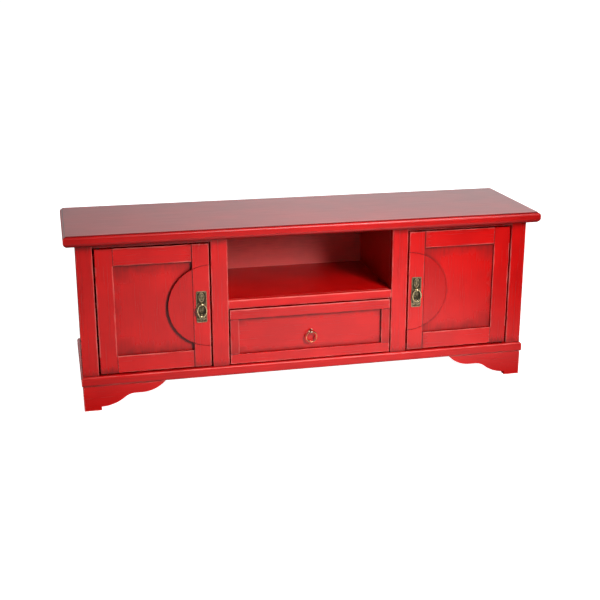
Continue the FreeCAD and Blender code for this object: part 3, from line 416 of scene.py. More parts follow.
def lacquer_group(look):
    """The lacquer's pattern: clouds, streaks, glaze in edges and ends, dark lines, painted shade and sheen,
    and rubbed edges with a painted highlight.
    """
    tree, given = new_group("lacquer", "ShaderNodeTree", LACQUER_INPUTS, LACQUER_OUTPUTS)

    # Distances to the sides of the board's box
    place = add(tree, SPLIT, {0: given["position"]}, out=None).outputs
    half = add(tree, MATH, {0: place["X"]}, operation="ABSOLUTE")
    folded = add(tree, "ShaderNodeCombineXYZ", {"X": half, "Y": place["Y"], "Z": place["Z"]})
    above = add(tree, VECTOR_MATH, {0: folded, 1: given["low"]}, operation="SUBTRACT")
    below = add(tree, VECTOR_MATH, {0: given["high"], 1: folded}, operation="SUBTRACT")
    inner = add(tree, VECTOR_MATH, {0: above, 1: below}, operation="MINIMUM")
    to_side, from_low, from_high = (add(tree, SPLIT, {0: offsets}, out=None).outputs
                                    for offsets in (inner, above, below))
    to_end, to_low_end = (add(tree, VECTOR_MATH, {0: offsets, 1: given["along"]}, out="Value",
                              operation="DOT_PRODUCT") for offsets in (inner, above))

    # The middle one of the three distances is the distance to the nearest edge
    nearer = add(tree, MATH, {0: to_side["X"], 1: to_side["Y"]}, operation="MINIMUM")
    farther = add(tree, MATH, {0: to_side["X"], 1: to_side["Y"]}, operation="MAXIMUM")
    capped = add(tree, MATH, {0: farther, 1: to_side["Z"]}, operation="MINIMUM")
    to_edge = add(tree, MATH, {0: nearer, 1: capped}, operation="MAXIMUM")

    # Clouds, blotches, streaks and smudges of this piece of timber
    timber = add(tree, VECTOR_MATH, {0: given["position"], 1: given["cut"]}, operation="ADD")
    clouds, blotches = (add(tree, NOISE, {"Vector": timber, "Scale": 1 / size, "Detail": 3})
                        for size in (look.cloud_size, look.blotch_size))
    drawn_out = [add(tree, VECTOR_MATH, {0: timber, 1: given[name]}, operation="MULTIPLY")
                 for name in ("streaks", "smudges")]
    streaks, smudges = (add(tree, NOISE, {"Vector": vector, "Scale": 1, "Detail": 4, "Roughness": 0.6})
                        for vector in drawn_out)
    unevenness, thickness = (add(tree, MATH, {0: noise, 1: NOISE_MEAN}, operation="SUBTRACT")
                             for noise in (smudges, blotches))

    # The front half of the piece, which is the half that is antiqued
    front = add(tree, MATH, {0: from_low["Y"], 1: from_high["Y"]}, operation="LESS_THAN")

    # Glaze in a panel, painted shade on the back panel: wide along its upper and lower edges, narrow down its
    # sides, widest in the corners
    strayed = add(tree, MATH, {0: given["reach"], 1: look.stray}, operation="MINIMUM")
    jitter = add(tree, MATH, {0: thickness, 1: strayed}, operation="MULTIPLY")
    corner_reach = add(tree, MATH, {0: given["reach"], 1: CORNER_WIDENING}, operation="MULTIPLY")
    clear = 1
    cornered = 1
    for axis, narrowing, share in (("X", SIDE_NARROWING, SIDE_SHARE), ("Z", 1, 1)):
        broken = add(tree, MATH, {0: to_side[axis], 1: jitter}, operation="ADD")
        wide = add(tree, MATH, {0: broken, 1: narrowing}, operation="MULTIPLY")
        fade = add(tree, MAP_RANGE, {"Value": wide, "From Min": given["reach"], "From Max": 0,
                                     "To Max": share})
        rim = add(tree, MATH, {0: fade, 1: RIM_FALLOFF}, operation="POWER")
        left = add(tree, MATH, {0: 1, 1: rim}, operation="SUBTRACT")
        clear = add(tree, MATH, {0: clear, 1: left}, operation="MULTIPLY")
        near = add(tree, MAP_RANGE, {"Value": to_side[axis], "From Min": corner_reach, "From Max": 0})
        cornered = add(tree, MATH, {0: cornered, 1: near}, operation="MULTIPLY")
    corner = add(tree, MATH, {0: cornered, 1: CORNER_FALLOFF}, operation="POWER")
    edged = add(tree, MATH, {0: 1, 1: clear}, operation="SUBTRACT")
    field = add(tree, MATH, {0: edged, 1: corner}, operation="MAXIMUM")
    wipe = add(tree, MAP_RANGE, {"Value": smudges, "From Min": 0.3, "From Max": 0.7, "To Min": 0.55})
    for share in (wipe, front, given["field"]):
        field = add(tree, MATH, {0: field, 1: share}, operation="MULTIPLY")

    # Glaze at a board's lower or inner end and round the half-moon, and painted shade along a lower edge
    from_centre = add(tree, VECTOR_MATH, {0: folded, 1: given["circle"]}, operation="SUBTRACT")
    on_face = add(tree, VECTOR_MATH, {0: from_centre, 1: (1, 0, 1)}, operation="MULTIPLY")
    radius = add(tree, VECTOR_MATH, {0: on_face}, out="Value", operation="LENGTH")
    outside = add(tree, MATH, {0: radius, 1: given["radius"]}, operation="SUBTRACT")
    wax = {}
    for name, distance, noise, width, spread in (
            ("ends", to_low_end, unevenness, look.end_width, END_BREAK),
            ("halo", outside, thickness, look.halo_width, 1)):
        stray = add(tree, MATH, {0: noise, 1: width * spread}, operation="MULTIPLY")
        broken = add(tree, MATH, {0: distance, 1: stray}, operation="ADD")
        wax[name] = add(tree, MAP_RANGE, {"Value": broken, "From Min": width, "From Max": 0},
                        interpolation_type="SMOOTHSTEP")
    wax["sole"] = add(tree, MAP_RANGE, {"Value": from_low["Z"], "From Min": look.sole_width, "From Max": 0})

    # Dark lines at joints and seams, in the scribed circle, and in the quirk that the top's back edge lacks;
    # at the posts' feet the joint line is a painted shadow
    from_nose = add(tree, MATH, {0: to_side["X"], 1: from_low["Y"]}, operation="MINIMUM")
    off_quirk = add(tree, MATH, {0: from_nose, 1: look.quirk_inset}, operation="SUBTRACT")
    circle_gap, quirk_gap = (add(tree, MATH, {0: gap}, operation="ABSOLUTE") for gap in (outside, off_quirk))
    for name, gap, width in (("joint", to_end, look.joint_width), ("seam", from_high["X"], look.joint_width),
                             ("scribe", circle_gap, look.scribe_width),
                             ("quirk", quirk_gap, look.scribe_width)):
        wax[name] = add(tree, MAP_RANGE, {"Value": gap, "From Min": width, "From Max": width / 2})
    for name in ("halo", "scribe"):
        wax[name] = add(tree, MATH, {0: wax[name], 1: front}, operation="MULTIPLY")
    for name, fade in wax.items():
        wax[name] = add(tree, MATH, {0: fade, 1: given[name]}, operation="MULTIPLY")

    # Painted shade on the walls of recesses and gaps, behind the front face and not as far as the back
    recess_shade_full = add(tree, MATH, {0: given["deep_from"], 1: look.recess_shade_ramp}, operation="ADD")
    painted_recess_shade = add(tree, MAP_RANGE, {"Value": from_low["Y"], "From Min": given["deep_from"],
                                      "From Max": recess_shade_full, "To Max": given["deep"]})
    shallow = add(tree, MAP_RANGE, {"Value": from_low["Y"], "From Min": look.recess_shade_end,
                                    "From Max": look.recess_shade_end - look.recess_shade_ramp})
    lines = add(tree, MATH, {0: painted_recess_shade, 1: shallow}, operation="MULTIPLY")

    # Coats of glaze and painted shade add up, and the darkest of the lines and the painted shade of recesses
    # shows
    glaze = field
    for name in ("ends", "halo", "sole"):
        both = add(tree, MATH, {0: glaze, 1: wax[name]}, operation="MULTIPLY")
        either = add(tree, MATH, {0: glaze, 1: wax[name]}, operation="ADD")
        glaze = add(tree, MATH, {0: either, 1: both}, operation="SUBTRACT")
    for name in ("joint", "seam", "scribe", "quirk"):
        lines = add(tree, MATH, {0: lines, 1: wax[name]}, operation="MAXIMUM")

    # Rubbed edges with a painted highlight along the arrises
    edge_jitter = add(tree, MATH, {0: unevenness, 1: look.worn_width * WORN_BREAK}, operation="MULTIPLY")
    edge_place = add(tree, MATH, {0: to_edge, 1: edge_jitter}, operation="ADD")
    worn = add(tree, MAP_RANGE, {"Value": edge_place, "From Min": look.worn_width, "From Max": 0})
    clear_of_butt = add(tree, MATH, {0: to_end, 1: given["butt"]}, operation="GREATER_THAN")
    for share in (clear_of_butt, given["worn"]):
        worn = add(tree, MATH, {0: worn, 1: share}, operation="MULTIPLY")

    # Colour, from the ground up
    cloud_share = add(tree, MAP_RANGE, {"Value": clouds, "From Min": 0.35, "From Max": 0.65})
    streak_share = add(tree, MAP_RANGE, {"Value": streaks, "From Min": 0.5, "From Max": 0.8, "To Max": 0.38})
    brushing = add(tree, MATH, {0: streak_share, 1: given["brush"]}, operation="MULTIPLY")
    # The top's nose is lightened: painted sheen
    nose_sheen_mask = add(tree, MATH, {0: off_quirk, 1: 0}, operation="LESS_THAN")
    tone = add(tree, MATH, {0: nose_sheen_mask, 1: given["nose"], 2: given["tone"]}, operation="MULTIPLY_ADD")
    tint = look.deep_red
    for share, coat in ((cloud_share, look.red), (brushing, look.streak)):
        tint = add(tree, MIX, {MIX_FACTOR: share, MIX_FIRST: tint, MIX_SECOND: coat}, **COLOUR_MIX)
    tint = add(tree, VECTOR_MATH, {0: tint, "Scale": tone}, operation="SCALE")
    # Painted sheen, rubbed edges with their painted highlight, glaze with painted shade, and dark lines with
    # the painted shade of recess walls and gaps
    for share, coat in ((given["dust"], look.dust), (worn, look.worn), (glaze, look.glaze),
                        (lines, look.line)):
        tint = add(tree, MIX, {MIX_FACTOR: share, MIX_FIRST: tint, MIX_SECOND: coat}, **COLOUR_MIX)

    # Rubbed edges with their painted highlight, and glaze with its painted shade, are duller than the lacquer
    dull = add(tree, MATH, {0: glaze, 1: worn}, operation="MAXIMUM")
    dulled = add(tree, MATH, {0: dull, 1: GLAZE_DULLING}, operation="MULTIPLY")
    brushed = add(tree, MAP_RANGE, {"Value": streaks, "To Min": -0.06, "To Max": 0.06})
    roughness = given["satin"]
    for change in (brushed, dulled):
        roughness = add(tree, MATH, {0: roughness, 1: change}, operation="ADD")
    ridges = add(tree, MATH, {0: streaks, 1: given["brush"]}, operation="MULTIPLY")
    add(tree, "NodeGroupOutput", {"colour": tint, "roughness": roughness, "height": ridges}, out=None)
    return tree


def seen_box(board):
    """Lowest and highest corners of a board without the tongues that its neighbours' grooves hide."""
    low, high = folded_box(board)
    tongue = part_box("right_door_panel")[1].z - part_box("right_door_top_rail")[0].z
    for axis in board.tongued:
        place = "XYZ".index(axis)
        high[place] -= tongue
        low[place] += tongue
    if board.spans_middle:
        low.x = -high.x
    return low, high


def lacquer(board, number, group, look):
    """Antiqued red lacquer on wood: brushed satin over the grain, painted shade in recesses, rubbed edges
    with a painted highlight.
    """
    material, tree, surface = new_material(board.name)
    low, high = seen_box(board)
    free_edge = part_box("right_lock_stile")[0].x
    moon_low, moon_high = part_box("right_half_moon")
    inputs = {
        "position": add(tree, COORDINATES, out="Object"),
        "low": low,
        "high": high,
        "along": AXES[board.grain],
        "streaks": scale_along(board.grain, look.grain_length, look.grain_width),
        "smudges": scale_along(board.grain, look.smudge_length, look.smudge_width),
        "cut": TIMBER_STEP * number,
        "circle": Vector((free_edge, 0, (moon_low.z + moon_high.z) / 2)),
        "radius": moon_high.x - free_edge,
    }
    inputs |= {name: getattr(board, name) for name in BOARD_SHARES}
    inputs |= {name: getattr(board, name) * MM for name in BOARD_LENGTHS}
    pattern = add(tree, "ShaderNodeGroup", inputs, out=None, node_tree=group).outputs
    bump = add(tree, "ShaderNodeBump", {"Strength": 0.03, "Distance": 0.3 * MM, "Height": pattern["height"]})
    shader = add(tree, PRINCIPLED, {"Base Color": pattern["colour"], "Roughness": pattern["roughness"],
                                    "Normal": bump, "IOR": 1.47}, out=None)
    tree.links.new(shader.outputs[0], surface)
    return material, tree, shader


class STAND_OT_lacquer(Operator):
    """Lacquer every board that shows"""

    bl_idname = "stand.lacquer"
    bl_label = "Lacquer the boards"

    def execute(self, context):
        look = context.scene.stand_lacquer
        group = lacquer_group(look)
        for number, board in enumerate(BOARDS):
            paint(lacquer(board, number, group, look)[0], board.nodes)
        self.face_back(group, look, context.scene.stand_timber)
        return {"FINISHED"}

    def face_back(self, group, look, timber):
        """Hardboard with a lacquered front and a bare back: smooth, brown and speckled with short fibres."""
        material, tree, shader = lacquer(BACK, len(BOARDS), group, look)
        position = add(tree, COORDINATES, out="Object")
        fibres = add(tree, NOISE, {"Vector": position, "Scale": 1 / timber.fibre_size, "Detail": 3})
        board = add(tree, MIX, {MIX_FACTOR: fibres, MIX_FIRST: timber.hardboard, MIX_SECOND: timber.fibre},
                    **COLOUR_MIX)
        depth = add(tree, SPLIT, {0: position}, out="Y")
        faced_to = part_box("back_panel")[0].y + LACQUERED_DEPTH
        rear = add(tree, MATH, {0: depth, 1: faced_to}, operation="GREATER_THAN")
        red = shader.inputs["Base Color"].links[0].from_socket
        faced = add(tree, MIX, {MIX_FACTOR: rear, MIX_FIRST: red, MIX_SECOND: board}, **COLOUR_MIX)
        tree.links.new(faced, shader.inputs["Base Color"])
        paint(material, BACK.nodes)


class STAND_OT_bare_wood(Operator):
    """Give the unpainted boards their grain"""

    bl_idname = "stand.bare_wood"
    bl_label = "Plane the bare wood"

    def execute(self, context):
        look = context.scene.stand_timber
        for grain, nodes in BARE.items():
            paint(self.planed_pine(grain, look), nodes)
        return {"FINISHED"}

    def planed_pine(self, grain, look):
        """Planed pine: pale early wood with darker growth lines along the board, matt from the plane."""
        material, tree, surface = new_material(f"planed_pine_along_{grain.lower()}")
        position = add(tree, COORDINATES, out="Object")
        scale = scale_along(grain, look.ring_length, look.ring_width)
        along = add(tree, VECTOR_MATH, {0: position, 1: scale}, operation="MULTIPLY")
        rings = add(tree, NOISE, {"Vector": along, "Scale": 1, "Detail": 5, "Distortion": 0.6})
        share = add(tree, MAP_RANGE, {"Value": rings, "From Min": 0.4, "From Max": 0.7})
        wood = add(tree, MIX, {MIX_FACTOR: share, MIX_FIRST: look.pale, MIX_SECOND: look.dark}, **COLOUR_MIX)
        matt = add(tree, MAP_RANGE, {"Value": rings, "To Min": 0.55, "To Max": 0.75})
        bump = add(tree, "ShaderNodeBump", {"Strength": 0.2, "Distance": 0.3 * MM, "Height": rings})
        shader = add(tree, PRINCIPLED, {"Base Color": wood, "Roughness": matt, "Normal": bump, "IOR": 1.5})
        tree.links.new(shader, surface)
        return material


class Finish(NamedTuple):
    """A mottled metal or plastic: names of its bright and dull colours, the roughness of each, and the noise
    values between which bright gives way to dull."""

    name: str
    bright: str
    dull: str
    gloss: tuple
    metallic: float
    edges: tuple = (0.42, 0.62)
    nodes: tuple = ()


FITTINGS = (
    # Cast brass, darkened and rubbed back: pale gold where fingers rub, brown elsewhere
    Finish("antique_cast_brass", "brass", "patina", (0.1, 0.3), 0.9, (0.52, 0.8),
           paired("ring", "pull_post")),
    # Brass bushes, darkened all over as painted shade of the door gaps
    Finish("browned_brass", "patina", "pivot_shade", (0.5, 0.7), 0.6, nodes=("pivot_bushes",)),
    # Brass wire that has gone coppery, with red-brown tarnish in patches
    Finish("coppery_brass_wire", "copper", "tarnish", (0.12, 0.3), 0.85, (0.52, 0.8), ("drawer_ring",)),
    # Polished brass turning with brown tarnish in patches
    Finish("polished_turned_brass", "polish", "tarnish", (0.08, 0.25), 1, (0.5, 0.8), ("drawer_pull_post",)),
    # Zinc plated steel: grey, with dull hazy patches
    Finish("zinc_plated_steel", "steel", "zinc_haze", (0.35, 0.55), 1, nodes=paired("strike_plate")),
    # Steel pins, darkened as painted shade of the door gaps, with a dull film
    Finish("greased_steel", "zinc_haze", "pivot_shade", (0.45, 0.6), 0.6, (0.2, 0.5), paired("pivot_pins")),
    # Moulded brown plastic: dark and satin, a little scuffed
    Finish("moulded_brown_plastic", "plastic", "plastic_scuff", (0.4, 0.55), 0, nodes=("door_catches",)),
)
# Stamped brass, darkened and rubbed back: pale rim and ornament, greenish brown hollows
STAMPED_BRASS = Finish("antique_stamped_brass", "stamped", "patina", (0.3, 0.55), 0.6)
# Zinc plated screw heads, a little dull
SCREW_ZINC = Finish("zinc_plated_screws", "steel", "zinc_haze", (0.3, 0.5), 1)


def mottled(finish, look, hollows=False):
    """A material whose bright colour is broken by duller patches, in a stamped plate's hollows as well."""
    material, tree, surface = new_material(finish.name)
    position = add(tree, COORDINATES, out="Object")
    patches = add(tree, NOISE, {"Vector": position, "Scale": 1 / look.mottle_size, "Detail": 4})
    share = add(tree, MAP_RANGE, {"Value": patches, "From Min": finish.edges[0], "From Max": finish.edges[1]})
    if hollows:
        depth = add(tree, SPLIT, {0: position}, out="Y")
        door_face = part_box("right_lock_stile")[0].y
        hollow = add(tree, MAP_RANGE, {"Value": depth, "From Min": door_face - look.crown_lift,
                                       "From Max": door_face - look.field_lift})
        part = add(tree, MATH, {0: share, 1: HOLLOW_PATCHES}, operation="MULTIPLY")
        share = add(tree, MATH, {0: hollow, 1: part}, operation="ADD", use_clamp=True)
    tint = add(tree, MIX, {MIX_FACTOR: share, MIX_FIRST: getattr(look, finish.bright),
                           MIX_SECOND: getattr(look, finish.dull)}, **COLOUR_MIX)
    roughness = add(tree, MAP_RANGE, {"Value": share, "To Min": finish.gloss[0], "To Max": finish.gloss[1]})
    bump = add(tree, "ShaderNodeBump", {"Strength": 0.15, "Distance": 0.1 * MM, "Height": patches})
    shader = add(tree, PRINCIPLED, {"Base Color": tint, "Roughness": roughness, "Metallic": finish.metallic,
                                    "Normal": bump})
    tree.links.new(shader, surface)
    return material


class STAND_OT_fittings(Operator):
    """Finish the rings, posts, pivots, strikes and catches"""

    bl_idname = "stand.fittings"
    bl_label = "Finish the fittings"

    def execute(self, context):
        for finish in FITTINGS:
            paint(mottled(finish, context.scene.stand_metal), finish.nodes)
        return {"FINISHED"}


def settle(piece, body):
    """Let a new piece ride on a body."""
    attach(piece, body)


def grow(context, name, tree, start, inputs):
    """A plain mesh piece that a node tree makes from a start mesh."""
    piece = bpy.data.objects.new(name, start)
    context.scene.collection.objects.link(piece)
    modifier = piece.modifiers.new("grow", "NODES")
    modifier.node_group = tree
    for item in tree.interface.items_tree:
        if item.in_out == "INPUT" and item.name in inputs:
            modifier[item.identifier] = inputs[item.name]
    mesh = bpy.data.meshes.new_from_object(piece.evaluated_get(context.evaluated_depsgraph_get()))
    piece.modifiers.clear()
    piece.data = mesh
    mesh.name = name
    if not mesh.polygons:
        raise RuntimeError(f"{name} has no faces")
    return piece


def rounded_inset(across, up, half_wide, half_high, corner):
    """Distance inside a rectangle with rounded corners."""
    out_x = np.abs(across) - half_wide + corner
    out_z = np.abs(up) - half_high + corner
    beyond = np.hypot(np.maximum(out_x, 0), np.maximum(out_z, 0))
    return corner - beyond - np.minimum(np.maximum(out_x, out_z), 0)


def ridge(distance, half_width):
    """Round-topped ridge, 1 on its line and 0 at its sides."""
    return np.sqrt(np.clip(1 - (distance / half_width) ** 2, 0, 1))


class Oval(NamedTuple):
    """An oval of the plates' ornament: half its width and height, and its middle's height, in millimetres."""

    half_wide: float
    half_high: float
    middle: float

    def spread(self, across, up):
        """How far out a place lies, 1 on the oval."""
        return np.hypot(across / self.half_wide, (up - self.middle) / self.half_high)

    def line(self, across, up):
        """Raised line just inside the oval."""
        return ridge((self.spread(across, up) - LINE_SPREAD) * self.half_wide, LINE_HALF)


# Ornament of the plates, in millimetres from a plate's middle
CARTOUCHE = Oval(8.5, 15.6, 30.6)
MEDALLION = Oval(8.2, 10.6, -8)
LINE_HALF = 0.9
PALMETTE_FOOT = 19
PALMETTE_REACH = 26
REED_PITCH = 3.2
FAN_FOOT = -46
FAN_REACH = 23
FAN_SHORTENING = 3
VEIN_HALF = 0.7
SCROLL_ACROSS = 9.6
SCROLL_HEIGHTS = (9, -25)
SCROLL_RADIUS = 2.3
SCROLL_HALF = 0.8
SCROLL_EYE = 0.9
STUD_ACROSS = 11
STUD_HEIGHTS = (45, -45)
STUD_RADIUS = 1.6

# How far out in an oval its line, palmette and reeds lie
LINE_SPREAD = 0.92
PALMETTE_SPREAD = 0.84
REED_SPREAD = 0.82

# Leaves of the palmette per half turn; places of the fan's leaves, with the lean and half width of each
PALMETTE_LEAVES = 3.5
FAN_PLACES = (-2, -1, 0, 1, 2)
FAN_LEAN = 0.5
FAN_HALF = 0.23
LEAST_HALF = 1e-6

# How high each part of the ornament stands, as a share of the relief
HEIGHTS = {"cartouche": 0.85, "palmette_ground": 0.12, "palmette": 0.55, "medallion": 0.35,
           "reed_ground": 0.05, "reeds": 0.45, "leaf": 0.9, "vein": 0.35, "scroll": 0.75, "scroll_eye": 0.6,
           "stud": 0.9}

# Depth of the field's punched dots, and the least turn to the front of a face that is shaded smooth
STIPPLE_DEPTH = 0.1 * MM
SMOOTH_FACING = 0.2


class STAND_OT_pull_plates(Operator):
    """Stamp the two pull plates"""

    bl_idname = "stand.pull_plates"
    bl_label = "Stamp the pull plates"

    def execute(self, context):
        look = context.scene.stand_plate
        metal = context.scene.stand_metal
        brass = mottled(STAMPED_BRASS, metal, hollows=True)
        tree = self.beading_tree()
        for side in SIDES:
            node = f"{side}_pull_plate"
            low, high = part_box(node)
            plate = self.stamp(context, f"{side}_stamped_plate", low, high, look, metal)
            plate.data.materials.append(brass)
            settle(plate, f"{side}_door")
            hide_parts(node)
            inset = look.rim_width + look.bead / 2
            beads = grow(context, f"{side}_plate_beading", tree, bpy.data.meshes.new("beading"), {
                "Width": high.x - low.x - 2 * inset,
                "Height": high.z - low.z - 2 * inset,
                "Corner": max(look.corner - inset, look.bead / 2),
                "Bead radius": look.bead / 2,
                "Pitch": look.bead_pitch,
                "Place": Vector(((low.x + high.x) / 2, high.y - metal.field_lift, (low.z + high.z) / 2)),
                "Metal": brass,
            })
            settle(beads, f"{side}_door")
        return {"FINISHED"}

    def ornament(self, across, up):
        """Cartouche with a palmette, reeded oval, fan of leaves, scrolls and studs; from 0 to 1."""
        # Cartouche over the ring
        shape = HEIGHTS["cartouche"] * CARTOUCHE.line(across, up)
        turn = np.arctan2(across, up - PALMETTE_FOOT)
        stem = np.clip(np.hypot(across, up - PALMETTE_FOOT) / PALMETTE_REACH, 0, 1)
        leaf = np.abs(np.cos(PALMETTE_LEAVES * turn)) * np.clip(np.sin(np.pi * stem), 0, 1)
        palmette = HEIGHTS["palmette_ground"] + HEIGHTS["palmette"] * leaf
        shape = np.maximum(shape, np.where(CARTOUCHE.spread(across, up) < PALMETTE_SPREAD, palmette, 0))
        # Medallion behind the ring
        shape = np.maximum(shape, HEIGHTS["medallion"] * MEDALLION.line(across, up))
        reeds = HEIGHTS["reed_ground"] + HEIGHTS["reeds"] * np.abs(np.sin(np.pi * (across + up) / REED_PITCH))
        shape = np.maximum(shape, np.where(MEDALLION.spread(across, up) < REED_SPREAD, reeds, 0))
        # Fan of leaves under it
        fan = np.arctan2(across, up - FAN_FOOT)
        length_out = np.hypot(across, up - FAN_FOOT)
        for place in FAN_PLACES:
            lean = place * FAN_LEAN
            long = FAN_REACH - FAN_SHORTENING * abs(place)
            along = np.clip(length_out / long, 0, 1)
            wide = FAN_HALF * np.sqrt(np.clip(np.sin(np.pi * along), 0, 1)) + LEAST_HALF
            blade = ridge(fan - lean, wide) * (length_out < long)
            vein = HEIGHTS["vein"] * ridge((fan - lean) * length_out, VEIN_HALF)
            shape = np.maximum(shape, np.clip(HEIGHTS["leaf"] * blade - vein * (blade > 0), 0, 1))
        # Scrolls beside the post and the cartouche, and a stud in each corner
        for height in SCROLL_HEIGHTS:
            curl = np.hypot(np.abs(across) - SCROLL_ACROSS, up - height)
            shape = np.maximum(shape, HEIGHTS["scroll"] * ridge(curl - SCROLL_RADIUS, SCROLL_HALF))
            shape = np.maximum(shape, HEIGHTS["scroll_eye"] * ridge(curl, SCROLL_EYE))
        for height in STUD_HEIGHTS:
            stud = np.hypot(np.abs(across) - STUD_ACROSS, up - height)
            shape = np.maximum(shape, HEIGHTS["stud"] * ridge(stud, STUD_RADIUS))
        return shape

    def stamp(self, context, name, low, high, look, metal):
        """One plate: a fine grid pressed to the ornament, cut to its outline, with sides and a back."""
        half_wide = (high.x - low.x) / 2
        half_high = (high.z - low.z) / 2
        columns = round(2 * half_wide / look.grid)
        rows = round(2 * half_high / look.grid)
        across, up = np.meshgrid(np.linspace(-half_wide, half_wide, columns + 1),
                                 np.linspace(-half_high, half_high, rows + 1))
        inset = rounded_inset(across, up, half_wide, half_high, look.corner)
        punched = np.sin(2 * np.pi * across / look.stipple) * np.sin(2 * np.pi * up / look.stipple)
        lift = metal.field_lift + STIPPLE_DEPTH * punched
        lift = np.maximum(lift, metal.field_lift + look.relief * self.ornament(across / MM, up / MM))
        post_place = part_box(name.replace("stamped_plate", "pull_post"))
        post_up = (post_place[0].z + post_place[1].z) / 2 - (low.z + high.z) / 2
        foot = np.hypot(across, up - post_up) < (post_place[1].z - post_place[0].z) / 2 + look.grid
        lift = np.where(foot, metal.field_lift, lift)
        rim = ridge(inset - look.rim_width / 2, look.rim_width / 2)
        lift = np.where(inset < look.rim_width, metal.field_lift + look.rim_height * rim, lift)
        lift = np.where(inset < look.grid / 2, look.edge, lift)

        shell = bmesh.new()
        middle = Vector(((low.x + high.x) / 2, high.y, (low.z + high.z) / 2))
        grid = [[shell.verts.new(middle + Vector((across[row, column], -lift[row, column], up[row, column])))
                 for column in range(columns + 1)] for row in range(rows + 1)]
        for row in range(rows):
            for column in range(columns):
                corners = ((row, column), (row, column + 1), (row + 1, column + 1), (row + 1, column))
                if min(inset[place] for place in corners) > -look.grid / 2:
                    shell.faces.new([grid[place[0]][place[1]] for place in corners])
        loose = [vertex for vertex in shell.verts if not vertex.link_faces]
        bmesh.ops.delete(shell, geom=loose, context="VERTS")
        border = [edge for edge in shell.edges if edge.is_boundary]
        sides = bmesh.ops.extrude_edge_only(shell, edges=border)["geom"]
        for vertex in (item for item in sides if isinstance(item, bmesh.types.BMVert)):
            vertex.co.y = high.y
        back = [edge for edge in shell.edges if edge.is_boundary]
        bmesh.ops.edgeloop_fill(shell, edges=back)
        bmesh.ops.recalc_face_normals(shell, faces=shell.faces)
        for face in shell.faces:
            face.smooth = abs(face.normal.y) > SMOOTH_FACING
        mesh = bpy.data.meshes.new(name)
        shell.to_mesh(mesh)
        shell.free()
        plate = bpy.data.objects.new(name, mesh)
        context.scene.collection.objects.link(plate)
        return plate

    def beading_tree(self):
        """Beads along a rounded frame that stands upright."""
        inputs = {"Float": ("Width", "Height", "Corner", "Bead radius", "Pitch"), "Vector": ("Place",),
                  "Material": ("Metal",)}
        tree, given = new_group("plate_beading", "GeometryNodeTree", inputs, {"Geometry": ("Beads",)})
        frame_line = add(tree, "GeometryNodeCurvePrimitiveQuadrilateral",
                         {"Width": given["Width"], "Height": given["Height"]})
        eased = add(tree, "GeometryNodeFilletCurve",
                    {"Curve": frame_line, "Radius": given["Corner"], "Count": 6}, mode="POLY")
        upright = add(tree, "GeometryNodeTransform", {"Geometry": eased, "Translation": given["Place"],
                                                      "Rotation": (math.pi / 2, 0, 0)})
        spaced = add(tree, "GeometryNodeResampleCurve", {"Curve": upright, "Length": given["Pitch"]},
                     mode="LENGTH")
        bead = add(tree, "GeometryNodeMeshUVSphere",
                   {"Segments": 8, "Rings": 6, "Radius": given["Bead radius"]})
        round_bead = add(tree, "GeometryNodeSetShadeSmooth", {"Geometry": bead})
        row = add(tree, "GeometryNodeInstanceOnPoints", {"Points": spaced, "Instance": round_bead})
        real = add(tree, "GeometryNodeRealizeInstances", {"Geometry": row})
        finished = add(tree, "GeometryNodeSetMaterial", {"Geometry": real, "Material": given["Metal"]})
        add(tree, "NodeGroupOutput", {"Beads": finished}, out=None)
        return tree


# Shares of a screw head: its flat crown, the length of its recess, and how deep the recess's bars are set
CROWN_SHARE = 0.72
SLOT_SHARE = 0.62
RECESS_SHARE = 0.45


